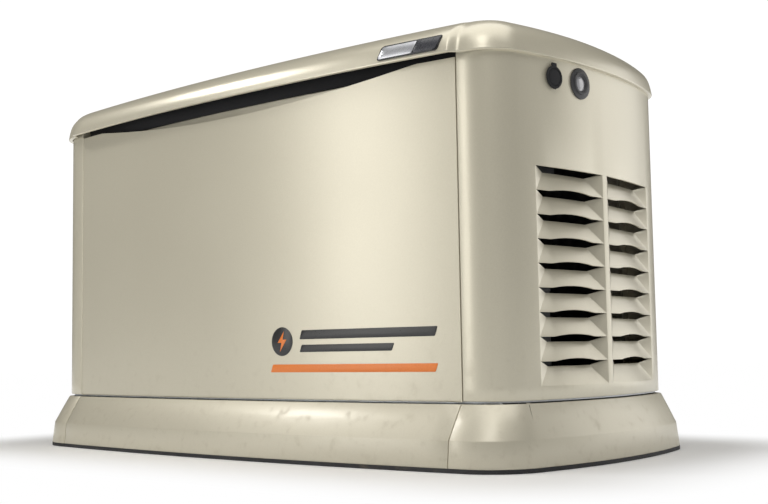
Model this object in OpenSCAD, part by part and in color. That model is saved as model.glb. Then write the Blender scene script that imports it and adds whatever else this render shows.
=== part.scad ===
// Home standby generator: an air-cooled V-twin gas engine and alternator in a
// louvred, lidded sheet-metal enclosure on a composite pad.
// Frame: millimetres, origin at the middle of the pad's underside, +Z up,
// X along the enclosure, -Y towards the front panel. The lock and the sight
// glass face +X.

/* [Overall size] */
// Length over the base fascia
total_l = 1218; // [1150:1:1320]
// Width over the base fascia
total_w = 638; // [600:1:700]
// Height from the underside of the pad to the lid's crown
total_h = 732; // [700:1:800]

/* [Plan shape] */
// Bow of the front and rear faces between the panel seams
front_bow = 24; // [4:1:30]
// Bow of each end face
end_bow = 23; // [4:1:30]
// Distance of the enclosure's end face inside the base's end
base_step_end = 28.5; // [24:0.5:40]
// Distance of the enclosure's front face inside the base's front
base_step_side = 40; // [30:0.5:50]
// Corner radius of the base fascia
base_r = 95; // [80:1:110]
// Corner radius of the enclosure walls
body_r = 64; // [50:1:80]
// Corner radius of the lid's lip
lid_r = 80; // [70:1:95]
// Distance of each panel seam inside the enclosure's end
seam_step = 104.5; // [95:0.5:120]

/* [Heights] */
// Thickness of the pad's visible lip
pad_lip_t = 6; // [4:0.5:10]
// Top of the pad's inner blocks
pad_top_z = 58; // [50:1:64]
// Height at which the fascia turns from its band to its slope
fascia_break_z = 46; // [36:1:60]
// Top edge of the fascia
fascia_top_z = 97; // [92:1:98]
// Bottom edge of the enclosure panels
panel_z = 101; // [101:0.5:104]
// Bottom edge of the lid's lip
lip_z = 624; // [610:1:640]
// Height by which the enclosure walls reach up inside the lid
wall_in_lid = 14; // [8:1:16]
// Depth of the finger scoop in the front panel's top edge
scoop_depth = 27; // [10:1:40]

/* [Sheet metal] */
// Thickness of the enclosure sheet
sheet_t = 2; // [1.5:0.1:3]
// Wall of the base fascia
fascia_t = 3.5; // [2.5:0.1:5]
// Wall of the lid
lid_t = 2.5; // [2:0.1:4]
// Gap between neighbouring panels
seam_gap = 1.5; // [1:0.1:3]
// Gap between a lid's wall and an enclosure wall inside it
lid_gap = 4.5; // [3:0.1:8]
// Depth of the return flange on a panel's edge
flange_d = 20; // [12:1:26]
// Amount by which the lid's front brow stands out past its corners
brow_out = 13; // [4:1:18]
// Width by which the lid's side lips stand outside the enclosure
lid_side_over = 13; // [10:0.5:18]

/* [Louvres] */
// Rows of louvres in each end panel
louvre_rows = 9; // [4:1:9]
// Distance between rows
louvre_pitch = 37; // [32:0.5:37]
// Top edge of the highest slot
louvre_top_z = 454; // [430:1:470]
// Height of the open slot between two blades
slot_h = 7.5; // [5:0.5:10]
// Inner edge of each louvre column from the panel's middle
column_y0 = 7; // [5:1:12]
// Outer edge of each louvre column from the panel's middle
column_y1 = 175; // [140:1:180]
// Depth of a blade's top edge behind the panel
blade_in = 15; // [8:0.5:16]
// Width of the slanted cheek at each end of a blade
cheek_w = 32; // [20:1:40]

/* [Lid hinges and locks] */
// Distance of each hinge from the middle
hinge_x = 250; // [150:5:330]
// Radius of the hinge pins
hinge_pin_r = 3; // [2.5:0.1:4]
// Radius of the hinge barrels
hinge_barrel_r = 6; // [5.5:0.1:7]
// Radial clearance of the lid's knuckles on their pins
hinge_clear = 0.05; // [0.02:0.01:0.1]
// Height of the hinge axis below the lip
hinge_drop = 12; // [9:0.5:14]
// Distance of the locks in front of the middle
lock_y = 132; // [110:1:150]
// Height of the locks and the sight glass below the lip
lock_drop = 30; // [28:0.5:34]
// Radius of the lock cylinder
lock_r = 8; // [6:0.1:9]
// Radius of the rubber weather cover
lock_cover_r = 18; // [16:0.5:20]
// Distance of the sight glass in front of the middle
sight_y = 65; // [60:1:75]
// Outer radius of the sight glass bezel
sight_r = 25; // [20:0.5:28]
// Radius of the sight glass lens
lens_r = 12; // [10:0.5:14]

/* [Pad and tray] */
// Distance between the anchor holes along the enclosure
anchor_dx = 1000; // [900:1:1040]
// Distance between the anchor holes across the enclosure
anchor_dy = 420; // [380:1:440]
// Radius of the anchor holes
anchor_r = 6.5; // [5:0.1:8]
// Thickness of the steel tray
tray_t = 2.5; // [2:0.1:4]
// Radius of the conduit hole in the rear panel
conduit_r = 17.3; // [14:0.1:20]
// Radius of the bore in the fuel inlet fitting
fuel_r = 9.2; // [7:0.1:10]

/* [Engine and alternator] */
// Height of the crankshaft above the ground
crank_z = 285; // [282:1:295]
// Radius of the crankshaft's main journals
crank_r = 17.5; // [15:0.1:20]
// Radial clearance of every running fit on the crankshaft
run_clear = 0.05; // [0.02:0.01:0.1]
// Left face of the crankcase
case_x0 = -250; // [-256:1:-246]
// Right face of the crankcase
case_x1 = -20; // [-26:1:-16]
// Outer radius of the alternator's can
alt_r = 120; // [115:1:122]
// Length of the alternator's can
alt_l = 230; // [210:1:236]
// Radius of the flywheel fan
fly_r = 118; // [105:1:120]
// Radius of each cylinder barrel
barrel_r = 45; // [40:1:48]
// Number of cooling fins on each cylinder
fin_count = 7; // [5:1:8]
// Radius of the muffler's can
muffler_r = 75; // [65:1:80]
// Length of the muffler's can across the enclosure
muffler_l = 340; // [300:1:360]

/* [Controls and battery] */
// Length of the battery
battery_l = 206; // [190:1:210]
// Depth of the battery
battery_w = 173; // [165:1:176]
// Height of the battery's case
battery_h = 190; // [180:1:200]
// Travel of the control keys
key_travel = 1.5; // [1:0.1:2]
// Radius of a control key
key_r = 9; // [8:0.1:11]
// Distance between control keys
key_pitch = 34; // [28:1:40]

/* [Hidden] */

$fn = 48;
eps = 0.01;

// Half sizes in plan
base_hl = total_l / 2;
base_hw = total_w / 2;
body_hl = base_hl - base_step_end;
body_hw = base_hw - base_step_side;
lid_end_over = lid_t + lid_gap;
lid_hl = body_hl + lid_end_over;
lid_hw = body_hw + lid_side_over;
seam_x = body_hl - seam_step;
wall_top_z = lip_z + wall_in_lid;
tray_z = panel_z - tray_t;

// Colours
beige = [0.80, 0.74, 0.62];
black = [0.07, 0.07, 0.07];
steel = [0.62, 0.63, 0.65];
casting = [0.72, 0.72, 0.70];
rubber = [0.10, 0.10, 0.10];

// ---- Plan outline -------------------------------------------------------
// One quadrant from the middle of the long side to the middle of the end.
front_steps = 6;
corner_steps = 7;
end_steps = 5;

function side_y(x, hw) = hw - front_bow * pow(x / seam_x, 2);

function quadrant(hl, hw, r) =
  let (
    slope = 2 * front_bow / seam_x,
    a_side = atan(slope),
    yc = hw - front_bow - r,
    a_end = atan(2 * end_bow / yc),
    cx = hl - end_bow - r,
    x0 = cx + r * sin(a_side),
    cy = hw - front_bow - (x0 - seam_x) * slope - r * cos(a_side),
    a0 = 90 - a_side,
    x1 = cx + r * cos(a_end),
    y1 = cy + r * sin(a_end)
  )
  concat(
    [for (i = [0:front_steps]) let (x = seam_x * i / front_steps) [x, side_y(x, hw)]],
    [for (i = [0:corner_steps]) let (a = a0 + (a_end - a0) * i / corner_steps)
      [cx + r * cos(a), cy + r * sin(a)]],
    [for (i = [1:end_steps]) let (y = y1 * (1 - i / end_steps))
      [hl - (hl - x1) * pow(y / y1, 2), y]]
  );

function last(v) = len(v) - 1;
function flip(v) = [for (i = [last(v):-1:0]) v[i]];
function flip_x(v) = [for (p = v) [-p[0], p[1]]];
function flip_y(v) = [for (p = v) [p[0], -p[1]]];
function tail(v, n) = [for (i = [n:last(v)]) v[i]];

// From the front seam round the right end to the rear seam.
function end_path(hl, hw, r) =
  let (q = tail(quadrant(hl, hw, r), front_steps))
  concat(flip_y(q), tail(flip(q), 1));

// Along the front from left to right, between x = -half and x = half.
function front_path(hw, half, steps = 12) =
  [for (i = [0:steps]) let (x = half * (2 * i / steps - 1)) [x, -side_y(x, hw)]];

// The whole closed outline, anticlockwise from the middle of the front.
function outline(hl, hw, r) =
  let (q = quadrant(hl, hw, r))
  concat(flip_y(q), tail(flip(q), 1), tail(flip_x(q), 1), tail(flip(flip_x(flip_y(q))), 1));

// The x of the enclosure's end face at a given y.
function end_face_x(y) =
  let (
    yc = body_hw - front_bow - body_r,
    a_end = atan(2 * end_bow / yc),
    x1 = body_hl - end_bow - body_r + body_r * cos(a_end)
  )
  body_hl - (body_hl - x1) * pow(y / (yc + body_r * sin(a_end)), 2);
function end_face_tilt(y) = atan((end_face_x(y - 1) - end_face_x(y + 1)) / 2);

module slab(points, z0, z1) {
  translate([0, 0, z0]) linear_extrude(z1 - z0) polygon(points);
}

// A bent wall between an outer path and an inner one.
module wall(outer, inner, z0, z1) {
  slab(concat(outer, flip(inner)), z0, z1);
}

// A thick skin: outer and inner are rows of points of equal length, one row
// for each station along the piece.
// Every four-sided cell is cut in two from its first corner, and from station
// lean_from on the other way.
module skin(outer, inner, lean_from = 1000) {
  n = len(outer);
  m = len(outer[0]);
  nm = n * m;
  function o(i, j) = i * m + j;
  function k(i, j) = nm + i * m + j;
  function cut(i, a, b, c, d) =
    i < lean_from ? [[a, b, c], [a, c, d]] : [[a, b, d], [b, c, d]];
  points = concat([for (row = outer) each row], [for (row = inner) each row]);
  faces = concat(
    [for (i = [0:n - 2]) for (j = [0:m - 2]) each
      cut(i, o(i, j), o(i, j + 1), o(i + 1, j + 1), o(i + 1, j))],
    [for (i = [0:n - 2]) for (j = [0:m - 2]) each
      [for (f = cut(i, k(i, j), k(i, j + 1), k(i + 1, j + 1), k(i + 1, j)))
        [f[0], f[2], f[1]]]],
    [for (i = [0:n - 2]) each
      [[o(i, 0), o(i + 1, 0), k(i + 1, 0)], [o(i, 0), k(i + 1, 0), k(i, 0)],
       [o(i, m - 1), k(i + 1, m - 1), o(i + 1, m - 1)],
       [o(i, m - 1), k(i, m - 1), k(i + 1, m - 1)]]],
    [for (j = [0:m - 2]) each
      [[o(0, j), k(0, j), k(0, j + 1)], [o(0, j), k(0, j + 1), o(0, j + 1)],
       [o(n - 1, j), k(n - 1, j + 1), k(n - 1, j)], [o(n - 1, j), o(n - 1, j + 1), k(n - 1, j + 1)]]]
  );
  polyhedron(points, faces);
}

// ---- Base ---------------------------------------------------------------
pad_block_in = 26;
pad_wall = 14;

module at_anchors() {
  for (sx = [-1, 1], sy = [-1, 1])
    translate([sx * anchor_dx / 2, sy * anchor_dy / 2, 0]) children();
}

module mounting_pad() {
  boss_r = 30;
  block = outline(base_hl - pad_block_in, base_hw - pad_block_in - 14, base_r - pad_block_in);
  inner = outline(base_hl - pad_block_in - pad_wall, base_hw - pad_block_in - 14 - pad_wall,
                  base_r - pad_block_in - pad_wall);
  color(black) difference() {
    union() {
      slab(outline(base_hl, base_hw, base_r), 0, pad_lip_t);
      difference() {
        slab(block, pad_lip_t - eps, pad_top_z);
        slab(inner, pad_lip_t, pad_top_z + 1);
      }
      at_anchors() cylinder(r = boss_r, h = pad_top_z);
      for (y = [-anchor_dy / 2, anchor_dy / 2])
        translate([-anchor_dx / 2, y - 5, 0]) cube([anchor_dx, 10, pad_top_z]);
    }
    at_anchors() translate([0, 0, -1]) cylinder(r = anchor_r, h = pad_top_z + 2);
  }
}

tray_in = 6;
rail_h = tray_z - pad_top_z;
mount_x = [-205, 195];
mount_y = 120;

module base_tray() {
  rail_w = 46;
  rim = outline(body_hl - tray_in, body_hw - tray_in, body_r - tray_in);
  color(steel) difference() {
    union() {
      slab(rim, tray_z, panel_z);
      for (y = [-anchor_dy / 2, anchor_dy / 2])
        translate([-anchor_dx / 2 - 30, y - rail_w / 2, pad_top_z])
          cube([anchor_dx + 60, rail_w, rail_h + eps]);
    }
    for (y = [-anchor_dy / 2, anchor_dy / 2])
      translate([-anchor_dx / 2 - 31, y - rail_w / 2 + 3, pad_top_z + 3])
        cube([anchor_dx + 62, rail_w - 6, rail_h - 3]);
    at_anchors() translate([0, 0, pad_top_z - 1]) cylinder(r = anchor_r, h = 60);
    translate([-450, -100, tray_z - 1]) cube([100, 200, tray_t + 2]);
  }
}

fascia_in_end = base_step_end - 4;
fascia_in_side = base_step_side - 4;
fascia_draft = 3.5;

// Levels of the fascia: share of the slope, extra draft and height.
function fascia_level(j) =
  [[0, 0, pad_lip_t], [0, fascia_draft, fascia_break_z],
   [0.5, fascia_draft * 0.5, (fascia_break_z + fascia_top_z) / 2],
   [1, 0, fascia_top_z]][j];
fascia_levels = 4;

function fascia_hl(j) = base_hl - fascia_level(j)[0] * fascia_in_end - fascia_level(j)[1];
function fascia_hw(j) = base_hw - fascia_level(j)[0] * fascia_in_side - fascia_level(j)[1];
function fascia_rad(j) = base_r + (body_r + 4 - base_r) * fascia_level(j)[0];

function fascia_end_row(j, t) =
  [for (p = end_path(fascia_hl(j) - t, fascia_hw(j) - t, fascia_rad(j) - t))
    [p[0], p[1], fascia_level(j)[2]]];
function fascia_front_row(j, t) =
  [for (p = front_path(fascia_hw(j) - t, seam_x - seam_gap)) [p[0], p[1], fascia_level(j)[2]]];
function across(rows) = [for (i = [0:last(rows[0])]) [for (row = rows) row[i]]];

module fascia_end() {
  color(beige) skin(
    across([for (j = [0:fascia_levels - 1]) fascia_end_row(j, 0)]),
    across([for (j = [0:fascia_levels - 1]) fascia_end_row(j, fascia_t)]));
}
module fascia_side() {
  color(beige) skin(
    across([for (j = [0:fascia_levels - 1]) fascia_front_row(j, 0)]),
    across([for (j = [0:fascia_levels - 1]) fascia_front_row(j, fascia_t)]));
}
module fascia_front() fascia_side();
module fascia_rear() rotate([0, 0, 180]) fascia_side();
module fascia_right() fascia_end();
module fascia_left() rotate([0, 0, 180]) fascia_end();

// ---- Enclosure panels ---------------------------------------------------
louvre_foot_z = louvre_top_z - louvre_rows * louvre_pitch;
// Depth of a blade's lip and cheeks inside the sheet that they join.
blade_sink = 0.5;
blade_t = sheet_t * 0.8;

// A blade's section at y: pushed in by depth at the top, level with the sheet below.
function blade_row(y, top, depth, lip) =
  [for (p = [[lip, blade_sink], [top, blade_sink + depth]]) [end_face_x(y) - p[1], y, p[0]]];
function behind(rows) = [for (row = rows) [for (p = row) [p[0] - blade_t, p[1], p[2]]]];

// A pressed louvre under the slit at height top, from y0 to y1.
module louvre(y0, y1, top) {
  lip = top - louvre_pitch;
  sill = top - slot_h;
  rows = [blade_row(y0 - 1, top + 1, 0, lip), blade_row(y0 + cheek_w, sill, blade_in, lip),
          blade_row((y0 + y1) / 2, sill, blade_in, lip),
          blade_row(y1 - cheek_w, sill, blade_in, lip), blade_row(y1 + 1, top + 1, 0, lip)];
  skin(rows, behind(rows), lean_from = 2);
}

module louvre_column(y0, y1) {
  for (i = [0:louvre_rows - 1]) louvre(y0, y1, louvre_top_z - i * louvre_pitch);
}

module lock_axis_frame() {
  translate([end_face_x(lock_y), -lock_y, lip_z - lock_drop])
    rotate([0, 0, -end_face_tilt(lock_y)]) rotate([0, 90, 0]) children();
}
module sight_axis_frame() {
  translate([end_face_x(sight_y), -sight_y, lip_z - lock_drop])
    rotate([0, 0, -end_face_tilt(sight_y)]) rotate([0, 90, 0]) children();
}

lock_body_r = lock_r + 3;
sight_tube_r = lens_r + 3;

module end_panel() {
  outer = end_path(body_hl, body_hw, body_r);
  inner = end_path(body_hl - sheet_t, body_hw - sheet_t, body_r - sheet_t);
  seam_y = side_y(seam_x, body_hw);
  difference() {
    union() {
      wall(outer, inner, panel_z, wall_top_z);
      for (sy = [-1, 1])
        translate([seam_x, sy > 0 ? seam_y - flange_d : -seam_y, panel_z])
          cube([sheet_t, flange_d, wall_top_z - panel_z]);
    }
    for (y = [-column_y1, column_y0])
      translate([body_hl - 60, y, louvre_foot_z])
        cube([120, column_y1 - column_y0, louvre_top_z - louvre_foot_z]);
    lock_axis_frame() translate([0, 0, -20]) cylinder(r = lock_body_r, h = 60);
  }
  louvre_column(-column_y1, -column_y0);
  louvre_column(column_y0, column_y1);
}

module right_end_panel() {
  color(beige) difference() {
    end_panel();
    sight_axis_frame() translate([0, 0, -20]) cylinder(r = sight_tube_r, h = 60);
  }
}
module left_end_panel() {
  color(beige) mirror([1, 0, 0]) end_panel();
}

front_panel_z0 = panel_z + 1.5;
front_panel_top = lip_z - 3;
front_half = seam_x - seam_gap;
scoop_half = 400;

header_in = flange_d - 2;
header_h = 62;
header_z = wall_top_z - header_h;

module front_panel() {
  arc_r = (pow(scoop_half, 2) + pow(scoop_depth, 2)) / (2 * scoop_depth);
  edge_y = side_y(front_half, body_hw);
  color(beige) difference() {
    union() {
      wall(front_path(body_hw, front_half), front_path(body_hw - sheet_t, front_half),
           front_panel_z0, front_panel_top);
      for (sx = [-1, 1])
        translate([sx > 0 ? front_half - sheet_t : -front_half, -edge_y, front_panel_z0])
          cube([sheet_t, flange_d, header_z - 4 - front_panel_z0]);
      wall(front_path(body_hw, front_half), front_path(body_hw - flange_d, front_half),
           front_panel_z0, front_panel_z0 + sheet_t);
    }
    translate([0, 0, front_panel_top - scoop_depth + arc_r]) rotate([90, 0, 0])
      cylinder(r = arc_r, h = 2 * body_hw, $fn = 360);
  }
}

module header_rail() {
  half = seam_x - seam_gap;
  z0 = header_z;
  color(beige) union() {
    wall(front_path(body_hw - header_in, half), front_path(body_hw - header_in - sheet_t, half),
         z0, wall_top_z);
    wall(front_path(body_hw - header_in, half), front_path(body_hw - header_in - 24, half),
         wall_top_z - sheet_t, wall_top_z);
    wall(front_path(body_hw - header_in, half), front_path(body_hw - header_in - 16, half),
         z0, z0 + sheet_t);
  }
}

rear_slot_w = 150;
fuel_x = 70;
fuel_z = 190;
conduit_x = 400;
conduit_z = 190;
conduit_boss = 10;
conduit_y = side_y(conduit_x, body_hw) - 6;
screw_r = 3;
screw_z = [125, 280, 440, 600];
rear_seam_screw = seam_x - 34;

module rear_panel() {
  half = seam_x - seam_gap;
  edge_y = side_y(half, body_hw);
  color(beige) rotate([0, 0, 180]) difference() {
    union() {
      wall(front_path(body_hw, half), front_path(body_hw - sheet_t, half), panel_z, wall_top_z);
      for (sx = [-1, 1])
        translate([sx > 0 ? half - sheet_t : -half, -edge_y, panel_z])
          cube([sheet_t, flange_d, wall_top_z - panel_z]);
      translate([-conduit_x, -conduit_y, conduit_z]) rotate([90, 0, 0])
        cylinder(r = conduit_r + 7, h = conduit_boss);
    }
    for (x = [-rear_seam_screw, rear_seam_screw], z = screw_z)
      translate([x, 0, z]) rotate([90, 0, 0]) cylinder(r = screw_r + 0.3, h = body_hw + 10);
    for (x = [-340, -160, 20, 200], i = [0:5])
      translate([x, -body_hw - 5, 330 + i * 30]) cube([rear_slot_w, 40, slot_h]);
    translate([-fuel_x, 0, fuel_z]) rotate([90, 0, 0]) cylinder(r = 14, h = body_hw + 10);
    translate([-conduit_x, 0, conduit_z]) rotate([90, 0, 0])
      cylinder(r = conduit_r, h = body_hw + 10);
  }
}

// ---- Lid ----------------------------------------------------------------
// Side profile of the lid: inset from the lip, and height above the lip.
lid_profile = [[0, 0], [2, 12], [6, 26], [12, 36], [21, 45], [34, 53]];
// Shares of the shoulder outline that the top's rings follow to the crown.
lid_top_rings = [0.93, 0.8, 0.6, 0.4, 0.2];
brow_fade = [1, 1, 0.9, 0.75, 0.5, 0.3];
shoulder = last(lid_profile);
lid_rise = total_h - lip_z;

function brow_push(i, n, w) =
  let (half = front_steps) (i <= half || i >= n - half) ? brow_out * w : 0;

function lid_side_ring(j, t) =
  let (
    inset = lid_profile[j][0] + t,
    ring = outline(lid_hl - inset, lid_hw - inset, max(lid_r - inset, 20)),
    n = len(ring) - 1
  )
  [for (i = [0:n - 1])
    [ring[i][0], ring[i][1] - brow_push(i, n, brow_fade[j]),
     lip_z + lid_profile[j][1] - (j > 2 ? t * (j - 2) / (shoulder - 2) : 0)]];

// The crown: a smooth dome over the shoulder outline, highest in the middle.
function lid_crown_z(x, y) =
  let (
    inset = lid_profile[shoulder][0],
    z_low = lid_profile[shoulder][1],
    u = x / (lid_hl - inset),
    v = y / side_y(x, lid_hw - inset)
  )
  lip_z + z_low + (lid_rise - z_low) * max(0, 1 - u * u) * max(0, 1 - v * v);

function lid_top_ring(k, t) =
  [for (p = lid_side_ring(shoulder, t))
    [p[0] * k, p[1] * k, lid_crown_z(p[0] * k, p[1] * k) - t]];

function lid_rings(t) = concat(
  [for (j = [0:shoulder]) lid_side_ring(j, t)],
  [for (k = lid_top_rings) lid_top_ring(k, t)]);

module lid() {
  outer = lid_rings(0);
  inner = lid_rings(lid_t);
  n = len(outer[0]);
  m = len(outer);
  nm = n * m;
  function o(j, i) = j * n + i % n;
  function k(j, i) = nm + j * n + i % n;
  crown = [[0, 0, total_h], [0, 0, total_h - lid_t]];
  points = concat([for (r = outer) each r], [for (r = inner) each r], crown);
  faces = concat(
    [for (j = [0:m - 2]) for (i = [0:n - 1]) each
      [[o(j, i), o(j + 1, i), o(j + 1, i + 1)], [o(j, i), o(j + 1, i + 1), o(j, i + 1)],
       [k(j, i), k(j + 1, i + 1), k(j + 1, i)], [k(j, i), k(j, i + 1), k(j + 1, i + 1)]]],
    [for (i = [0:n - 1]) each
      [[o(0, i), o(0, i + 1), k(0, i + 1)], [o(0, i), k(0, i + 1), k(0, i)],
       [o(m - 1, i), 2 * nm, o(m - 1, i + 1)], [k(m - 1, i), k(m - 1, i + 1), 2 * nm + 1]]]
  );
  color(beige) polyhedron(points, faces);
}

function lid_inset(z) =
  lookup(z - lip_z, [for (p = lid_profile) [p[1], p[0]]]);
function brow_y(x, z) = -side_y(x, lid_hw + brow_out - lid_inset(z));

badge_x0 = 353;
badge_l = 112;
badge_z0 = 5;
badge_h = 25;
badge_lean = 6;

module lid_badge() {
  steps = 6;
  levels = 3;
  function row(i, out) =
    [for (j = [0:levels]) let (
      z = lip_z + badge_z0 + badge_h * j / levels,
      x = badge_x0 + badge_l * i / steps + badge_lean * (j / levels - 0.5)
    ) [x, brow_y(x, z) - out, z]];
  color(black) skin([for (i = [0:steps]) row(i, 3)], [for (i = [0:steps]) row(i, 0.1)]);
}

module lid_seal() {
  seal_h = 6;
  seal_w = 8;
  ends = end_path(body_hl - 0.5, body_hw - 0.5, body_r);
  ends_in = end_path(body_hl - seal_w, body_hw - seal_w, body_r - seal_w);
  half = seam_x - 2;
  color(rubber) {
    for (s = [0, 1]) mirror([s, 0, 0]) wall(ends, ends_in, wall_top_z, wall_top_z + seal_h);
    rotate([0, 0, 180]) wall(front_path(body_hw - 0.5, half), front_path(body_hw - seal_w, half),
                             wall_top_z, wall_top_z + seal_h);
    wall(front_path(body_hw - header_in - 1, half),
         front_path(body_hw - header_in - 1 - seal_w, half), wall_top_z, wall_top_z + seal_h);
  }
}

// Hinges: a knuckle on the rear panel between two knuckles on the lid.
knuckle_w = 30;
knuckle_gap = 0.5;
leaf_t = 2.5;
hinge_plate_y = side_y(hinge_x - knuckle_w / 2, body_hw) + 0.2;
lid_plate_y = side_y(hinge_x - knuckle_w, lid_hw) + 0.3;
hinge_y = lid_plate_y + leaf_t + hinge_barrel_r - 1;
hinge_z = lip_z - hinge_drop;

// Profiles are drawn in Y and Z and run along X.
module along_x(x0, x1) {
  translate([x0, 0, 0]) rotate([90, 0, 90]) linear_extrude(x1 - x0) children();
}
module x_rod(r, x0, x1, y, z) {
  translate([x0, y, z]) rotate([0, 90, 0]) cylinder(r = r, h = x1 - x0);
}

module hinge_leaves_body() {
  plate_h = 46;
  z1 = hinge_z - 8;
  color(steel) for (s = [0, 1]) mirror([s, 0, 0]) difference() {
    union() {
      along_x(hinge_x - knuckle_w / 2, hinge_x + knuckle_w / 2) polygon([
        [hinge_plate_y, z1 - plate_h], [hinge_plate_y + leaf_t, z1 - plate_h],
        [hinge_plate_y + leaf_t, z1 - 2], [hinge_y + 2, hinge_z - 4],
        [hinge_y - 2, hinge_z], [hinge_plate_y, z1 + 1]]);
      x_rod(hinge_barrel_r, hinge_x - knuckle_w / 2, hinge_x + knuckle_w / 2, hinge_y, hinge_z);
    }
    x_rod(hinge_pin_r, hinge_x - knuckle_w, hinge_x + knuckle_w, hinge_y, hinge_z);
  }
}

module hinge_leaves_lid() {
  arm_w = 14;
  x0 = hinge_x - knuckle_w / 2 - knuckle_gap - arm_w;
  x1 = hinge_x + knuckle_w / 2 + knuckle_gap;
  z0 = lip_z - 2;
  color(steel) for (s = [0, 1]) mirror([s, 0, 0]) difference() {
    union() {
      along_x(x0, x1 + arm_w) polygon([
        [lid_plate_y, z0], [lid_plate_y + leaf_t, z0], [lid_plate_y + leaf_t, z0 + 22],
        [lid_plate_y, z0 + 22]]);
      for (x = [x0, x1]) {
        along_x(x, x + arm_w) polygon([
          [lid_plate_y, z0 + 1], [lid_plate_y + leaf_t, z0 + 1],
          [hinge_y + 3, hinge_z + 3], [hinge_y - 3, hinge_z]]);
        x_rod(hinge_barrel_r, x, x + arm_w, hinge_y, hinge_z);
      }
    }
    x_rod(hinge_pin_r + hinge_clear, x0 - 1, x1 + arm_w + 1, hinge_y, hinge_z);
  }
}

module hinge_pins() {
  half = knuckle_w / 2 + knuckle_gap + 14 + 2;
  color(steel) for (s = [-1, 1])
    x_rod(hinge_pin_r, s * hinge_x - half, s * hinge_x + half, hinge_y, hinge_z);
}

// ---- Locks and sight glass ----------------------------------------------
lock_len = 30;

module lock_housings() {
  color(steel) for (s = [0, 1]) mirror([s, 0, 0]) lock_axis_frame() difference() {
    union() {
      translate([0, 0, -lock_len]) cylinder(r = lock_body_r - 0.2, h = lock_len);
      translate([0, 0, 0.4]) cylinder(r = lock_body_r + 3, h = 1.6);
      translate([0, 0, -eps]) cylinder(r = lock_body_r - 0.2, h = 1);
    }
    translate([0, 0, -lock_len - 1]) cylinder(r = lock_r, h = lock_len + 10);
  }
}

// The cam stands up when unlocked and lies over the strike's ledge when locked.
cam_t = 3;
cam_w = 16;
cam_l = 20;

module lock_cam() {
  color(steel) lock_axis_frame() difference() {
    union() {
      translate([0, 0, -lock_len - 1]) cylinder(r = lock_r - run_clear, h = lock_len + 2);
      translate([-cam_l, -cam_w / 2, -lock_len - 1 - cam_t]) cube([cam_l + 6, cam_w, cam_t + eps]);
    }
    translate([-4, -0.8, -6]) cube([8, 1.6, 8]);
  }
}
module right_lock_cam() lock_cam();
module left_lock_cam() mirror([1, 0, 0]) lock_cam();

// The cover swings up on a knuckle above the disc.
cover_axis_up = lock_cover_r + 3;
cover_lift = 2.5;
cover_t = 3;
cover_tab_w = 12;
knuckle_r = 2;
module lock_cover() {
  color(rubber) lock_axis_frame() union() {
    translate([0, 0, cover_lift]) cylinder(r = lock_cover_r, h = cover_t);
    translate([-cover_axis_up, -cover_tab_w / 2, cover_lift]) cube([10, cover_tab_w, cover_t]);
    translate([-cover_axis_up, cover_tab_w / 2, cover_lift + cover_t / 2]) rotate([90, 0, 0])
      cylinder(r = knuckle_r, h = cover_tab_w);
  }
}
module right_lock_cover() lock_cover();
module left_lock_cover() mirror([1, 0, 0]) lock_cover();

module lid_strikes() {
  strike_w = 12;
  strike_t = 3;
  ledge_z = lip_z - lock_drop - cam_w / 2 - 4;
  x = end_face_x(lock_y) - lock_len - 12;
  y = -lock_y - cam_w / 2 - 4 - strike_w;
  top_z = lip_z + lid_profile[shoulder][1] - 3;
  color(steel) for (s = [0, 1]) mirror([s, 0, 0]) {
    translate([x, y, ledge_z]) cube([strike_t, strike_w, top_z - ledge_z]);
    translate([x, y, ledge_z]) cube([14, strike_w, strike_t]);
    translate([x - 22, y - 8, top_z - strike_t]) cube([25, strike_w + 16, strike_t]);
  }
}

module sight_glass_bezel() {
  color(black) sight_axis_frame() difference() {
    union() {
      translate([0, 0, 0.4]) cylinder(r = sight_r, h = 3);
      translate([0, 0, 3.3]) cylinder(r = lens_r + 6.5, h = 2);
      translate([0, 0, -10]) cylinder(r = sight_tube_r - 0.2, h = 11);
    }
    translate([0, 0, -11]) cylinder(r = lens_r, h = 20);
  }
}
module sight_glass_lens() {
  color([0.5, 0.5, 0.5]) sight_axis_frame() translate([0, 0, -1]) cylinder(r = lens_r - 0.02, h = 4.5);
}

// ---- Engine -------------------------------------------------------------
cradle_z = panel_z + 28;
cradle_h = 26;
sump_z = cradle_z + cradle_h;
bulkhead_x = -352;
v_angle = 45;
bank_x = [-170, -100];
barrel_base = 62;
barrel_len = 76;
head_len = 48;
cover_len = 24;
port_y = (barrel_base + 30 + barrel_len + head_len / 2) * sin(v_angle);
port_z = crank_z + port_y;
pipe_r = 16;

module bulkhead() {
  half = body_hw - flange_d - 18;
  color(steel) difference() {
    translate([bulkhead_x, -half, panel_z]) cube([sheet_t, 2 * half, header_z - 16 - panel_z]);
    translate([bulkhead_x - 1, 0, crank_z]) rotate([0, 90, 0]) cylinder(r = fly_r + 8, h = 10);
    for (s = [-1, 1]) translate([bulkhead_x - 1, s * port_y, port_z]) rotate([0, 90, 0])
      cylinder(r = pipe_r + 10, h = 10);
  }
}

module engine_cradle() {
  color(black) {
    for (sy = [-1, 1])
      translate([mount_x[0] - 40, sy * mount_y - 20, cradle_z])
        cube([mount_x[1] - mount_x[0] + 80, 40, cradle_h]);
    for (x = mount_x) translate([x - 20, -mount_y + 20 - eps, cradle_z])
      cube([40, 2 * mount_y - 40 + 2 * eps, 6]);
  }
}

module rubber_mounts() {
  color(rubber) for (x = mount_x, sy = [-1, 1])
    translate([x, sy * mount_y, panel_z]) cylinder(r = 20, h = cradle_z - panel_z);
}

// Puts children on one cylinder bank: +Z runs out along the barrel.
module bank(i) {
  translate([bank_x[i], 0, crank_z]) rotate([i == 0 ? v_angle : -v_angle, 0, 0]) children();
}

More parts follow.
